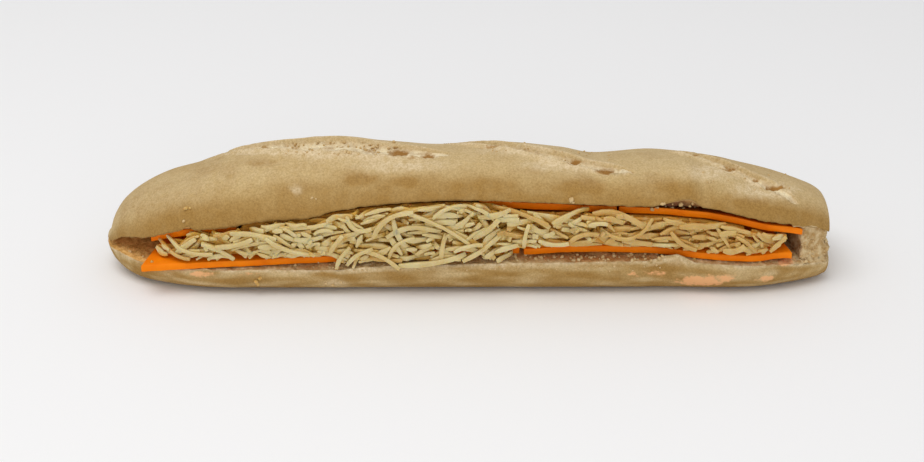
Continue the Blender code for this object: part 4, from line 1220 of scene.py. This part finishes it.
# first place of the food that is seen at a pixel
def foundAt(trees, right, down):
    ahead = Vector((0.0, math.cos(eyeAngle), -math.sin(eyeAngle)))
    upward = Vector((0.0, math.sin(eyeAngle), math.cos(eyeAngle)))
    start = (Vector(eye["target"]) + shift - ahead * eye["distance"]) * mm
    ray = ahead + Vector((1.0, 0.0, 0.0)) * ((right - eye["across"] / 2) / focal)
    ray += upward * ((eye["down"] / 2 - down) / focal)
    hits = [tree.ray_cast(start, ray.normalized()) for tree in trees]
    hits = [hit for hit in hits if hit[0] is not None]
    return min(hits, key=lambda hit: hit[3]) if hits else None


# one lump is copied to every spot, and each copy is turned, sized and roughened
def makeCrumbs(name, spots, trees, points, faces):
    rng = random.Random(len(spots))
    copies, tones = [], []
    for right, down, size in spots:
        hit = foundAt(trees, right, down)
        if hit is None:
            continue
        place, outward = np.array(hit[0]) / mm - np.array(shift), np.array(hit[1])
        stretch = np.array([rng.uniform(0.7, 1.35) for axis in range(3)])
        aim = Vector([rng.uniform(-1.0, 1.0) for axis in range(3)])
        turned = (points * stretch) @ np.array(aim.to_track_quat("Z", "X").to_matrix()).T
        rough = noiseOver(turned, 0.9, rng.uniform(0.0, 50.0))
        lump = turned * (1.0 + 0.5 * rough)[:, None] * size
        copies.append(lump + place + outward * 0.25 * size)
        tones.append(np.full(len(points), rng.uniform(0.0, 0.35)))
    return joinCopies(name, faces, copies, tones)


print("panini: crumbs")
rng = random.Random(77)
scattered = [(rng.uniform(*rights), rng.uniform(*downs), rng.uniform(*sizes))
             for rights, downs, count, sizes in crumbScatter.values() for i in range(count)]
graph = bpy.context.evaluated_depsgraph_get()
foodTrees = [BVHTree.FromObject(piece, graph) for piece in [bread] + slices]
lumpShape = takeShape(startPiece("lump", bpy.ops.mesh.primitive_ico_sphere_add,
                                 subdivisions=2, radius=1.0))
crumbLook = dict(light=(0.64, 0.49, 0.27), deep=(0.56, 0.38, 0.17), tonedAndShaded=(0.5, 0.3, 0.1),
                 fleck=(0.74, 0.62, 0.4), fleckShare=0.4, cloudSpacing=1.5, fleckSpacing=0.4,
                 gloss=0.8, dull=0.95, glow=0.0, glowColour=(1.0, 0.7, 0.4), sheen=0.2)
breadCrumbs = makeCrumbs("bread_crumbs", crumbSpots["bread"] + scattered, foodTrees, *lumpShape)
finishPiece(breadCrumbs, makeCheeseMaterial("loose_crumb", crumbLook), [])
cheeseCrumbs = makeCrumbs("cheese_crumbs", crumbSpots["cheese"], foodTrees, *lumpShape)
finishPiece(cheeseCrumbs, looks["cream_shreds"], [])


# stage, light and camera
stage = dict(size=6.0, below=0.0002, colour=(0.9, 0.9, 0.91, 1.0), rough=0.9,
             skyColour=(1.0, 1.0, 1.0, 1.0), skyPower=0.62, nearest=0.01)
lamps = dict(
    softbox=dict(place=(-0.35, -0.35, 1.2), aim=(0.0, 0.0, 0.0), size=(1.1, 0.8), power=7.0,
                 colour=(1.0, 0.985, 0.96)),
    front_fill=dict(place=(0.2, -1.3, 0.3), aim=(0.02, 0.0, 0.02), size=(1.2, 0.5), power=3.1,
                    colour=(1.0, 0.98, 0.95)),
)


def makeStage():
    floor = startPiece("floor", bpy.ops.mesh.primitive_plane_add, size=stage["size"],
                       location=(0.0, 0.0, cadLow.z - stage["below"]))
    bpy.ops.object.transform_apply(location=True, rotation=False, scale=False)
    own = Shading("pale_floor")
    own.shader.inputs["Base Color"].default_value = stage["colour"]
    own.shader.inputs["Roughness"].default_value = stage["rough"]
    floor.data.materials.append(own.material)


def addLamp(name, place, aim, size, power, colour):
    data = bpy.data.lights.new(name, "AREA")
    data.shape = "RECTANGLE"
    data.size, data.size_y = size
    data.energy = power
    data.color = colour
    lamp = bpy.data.objects.new(name, data)
    lamp.location = place
    lamp.rotation_euler = (Vector(aim) - Vector(place)).to_track_quat("-Z", "Y").to_euler()
    bpy.context.scene.collection.objects.link(lamp)


def makeSky():
    world = bpy.data.worlds.new("room")
    world.use_nodes = True
    sky = world.node_tree.nodes["Background"]
    sky.inputs["Color"].default_value = stage["skyColour"]
    sky.inputs["Strength"].default_value = stage["skyPower"]
    bpy.context.scene.world = world


def makeCamera():
    data = bpy.data.cameras.new("photo_view")
    data.lens, data.sensor_width = eye["lens"], eye["sensor"]
    data.clip_start = stage["nearest"]
    camera = bpy.data.objects.new("photo_view", data)
    target = (Vector(eye["target"]) + shift) * mm
    back = Vector((0.0, -math.cos(eyeAngle), math.sin(eyeAngle)))
    camera.location = target + back * (eye["distance"] * mm)
    camera.rotation_euler = (math.pi / 2.0 - eyeAngle, 0.0, 0.0)
    bpy.context.scene.collection.objects.link(camera)
    bpy.context.scene.camera = camera


print("panini: stage, light and camera")
makeStage()
for name, lamp in lamps.items():
    addLamp(name, **lamp)
makeSky()
makeCamera()
bpy.context.scene.view_settings.view_transform = "Standard"
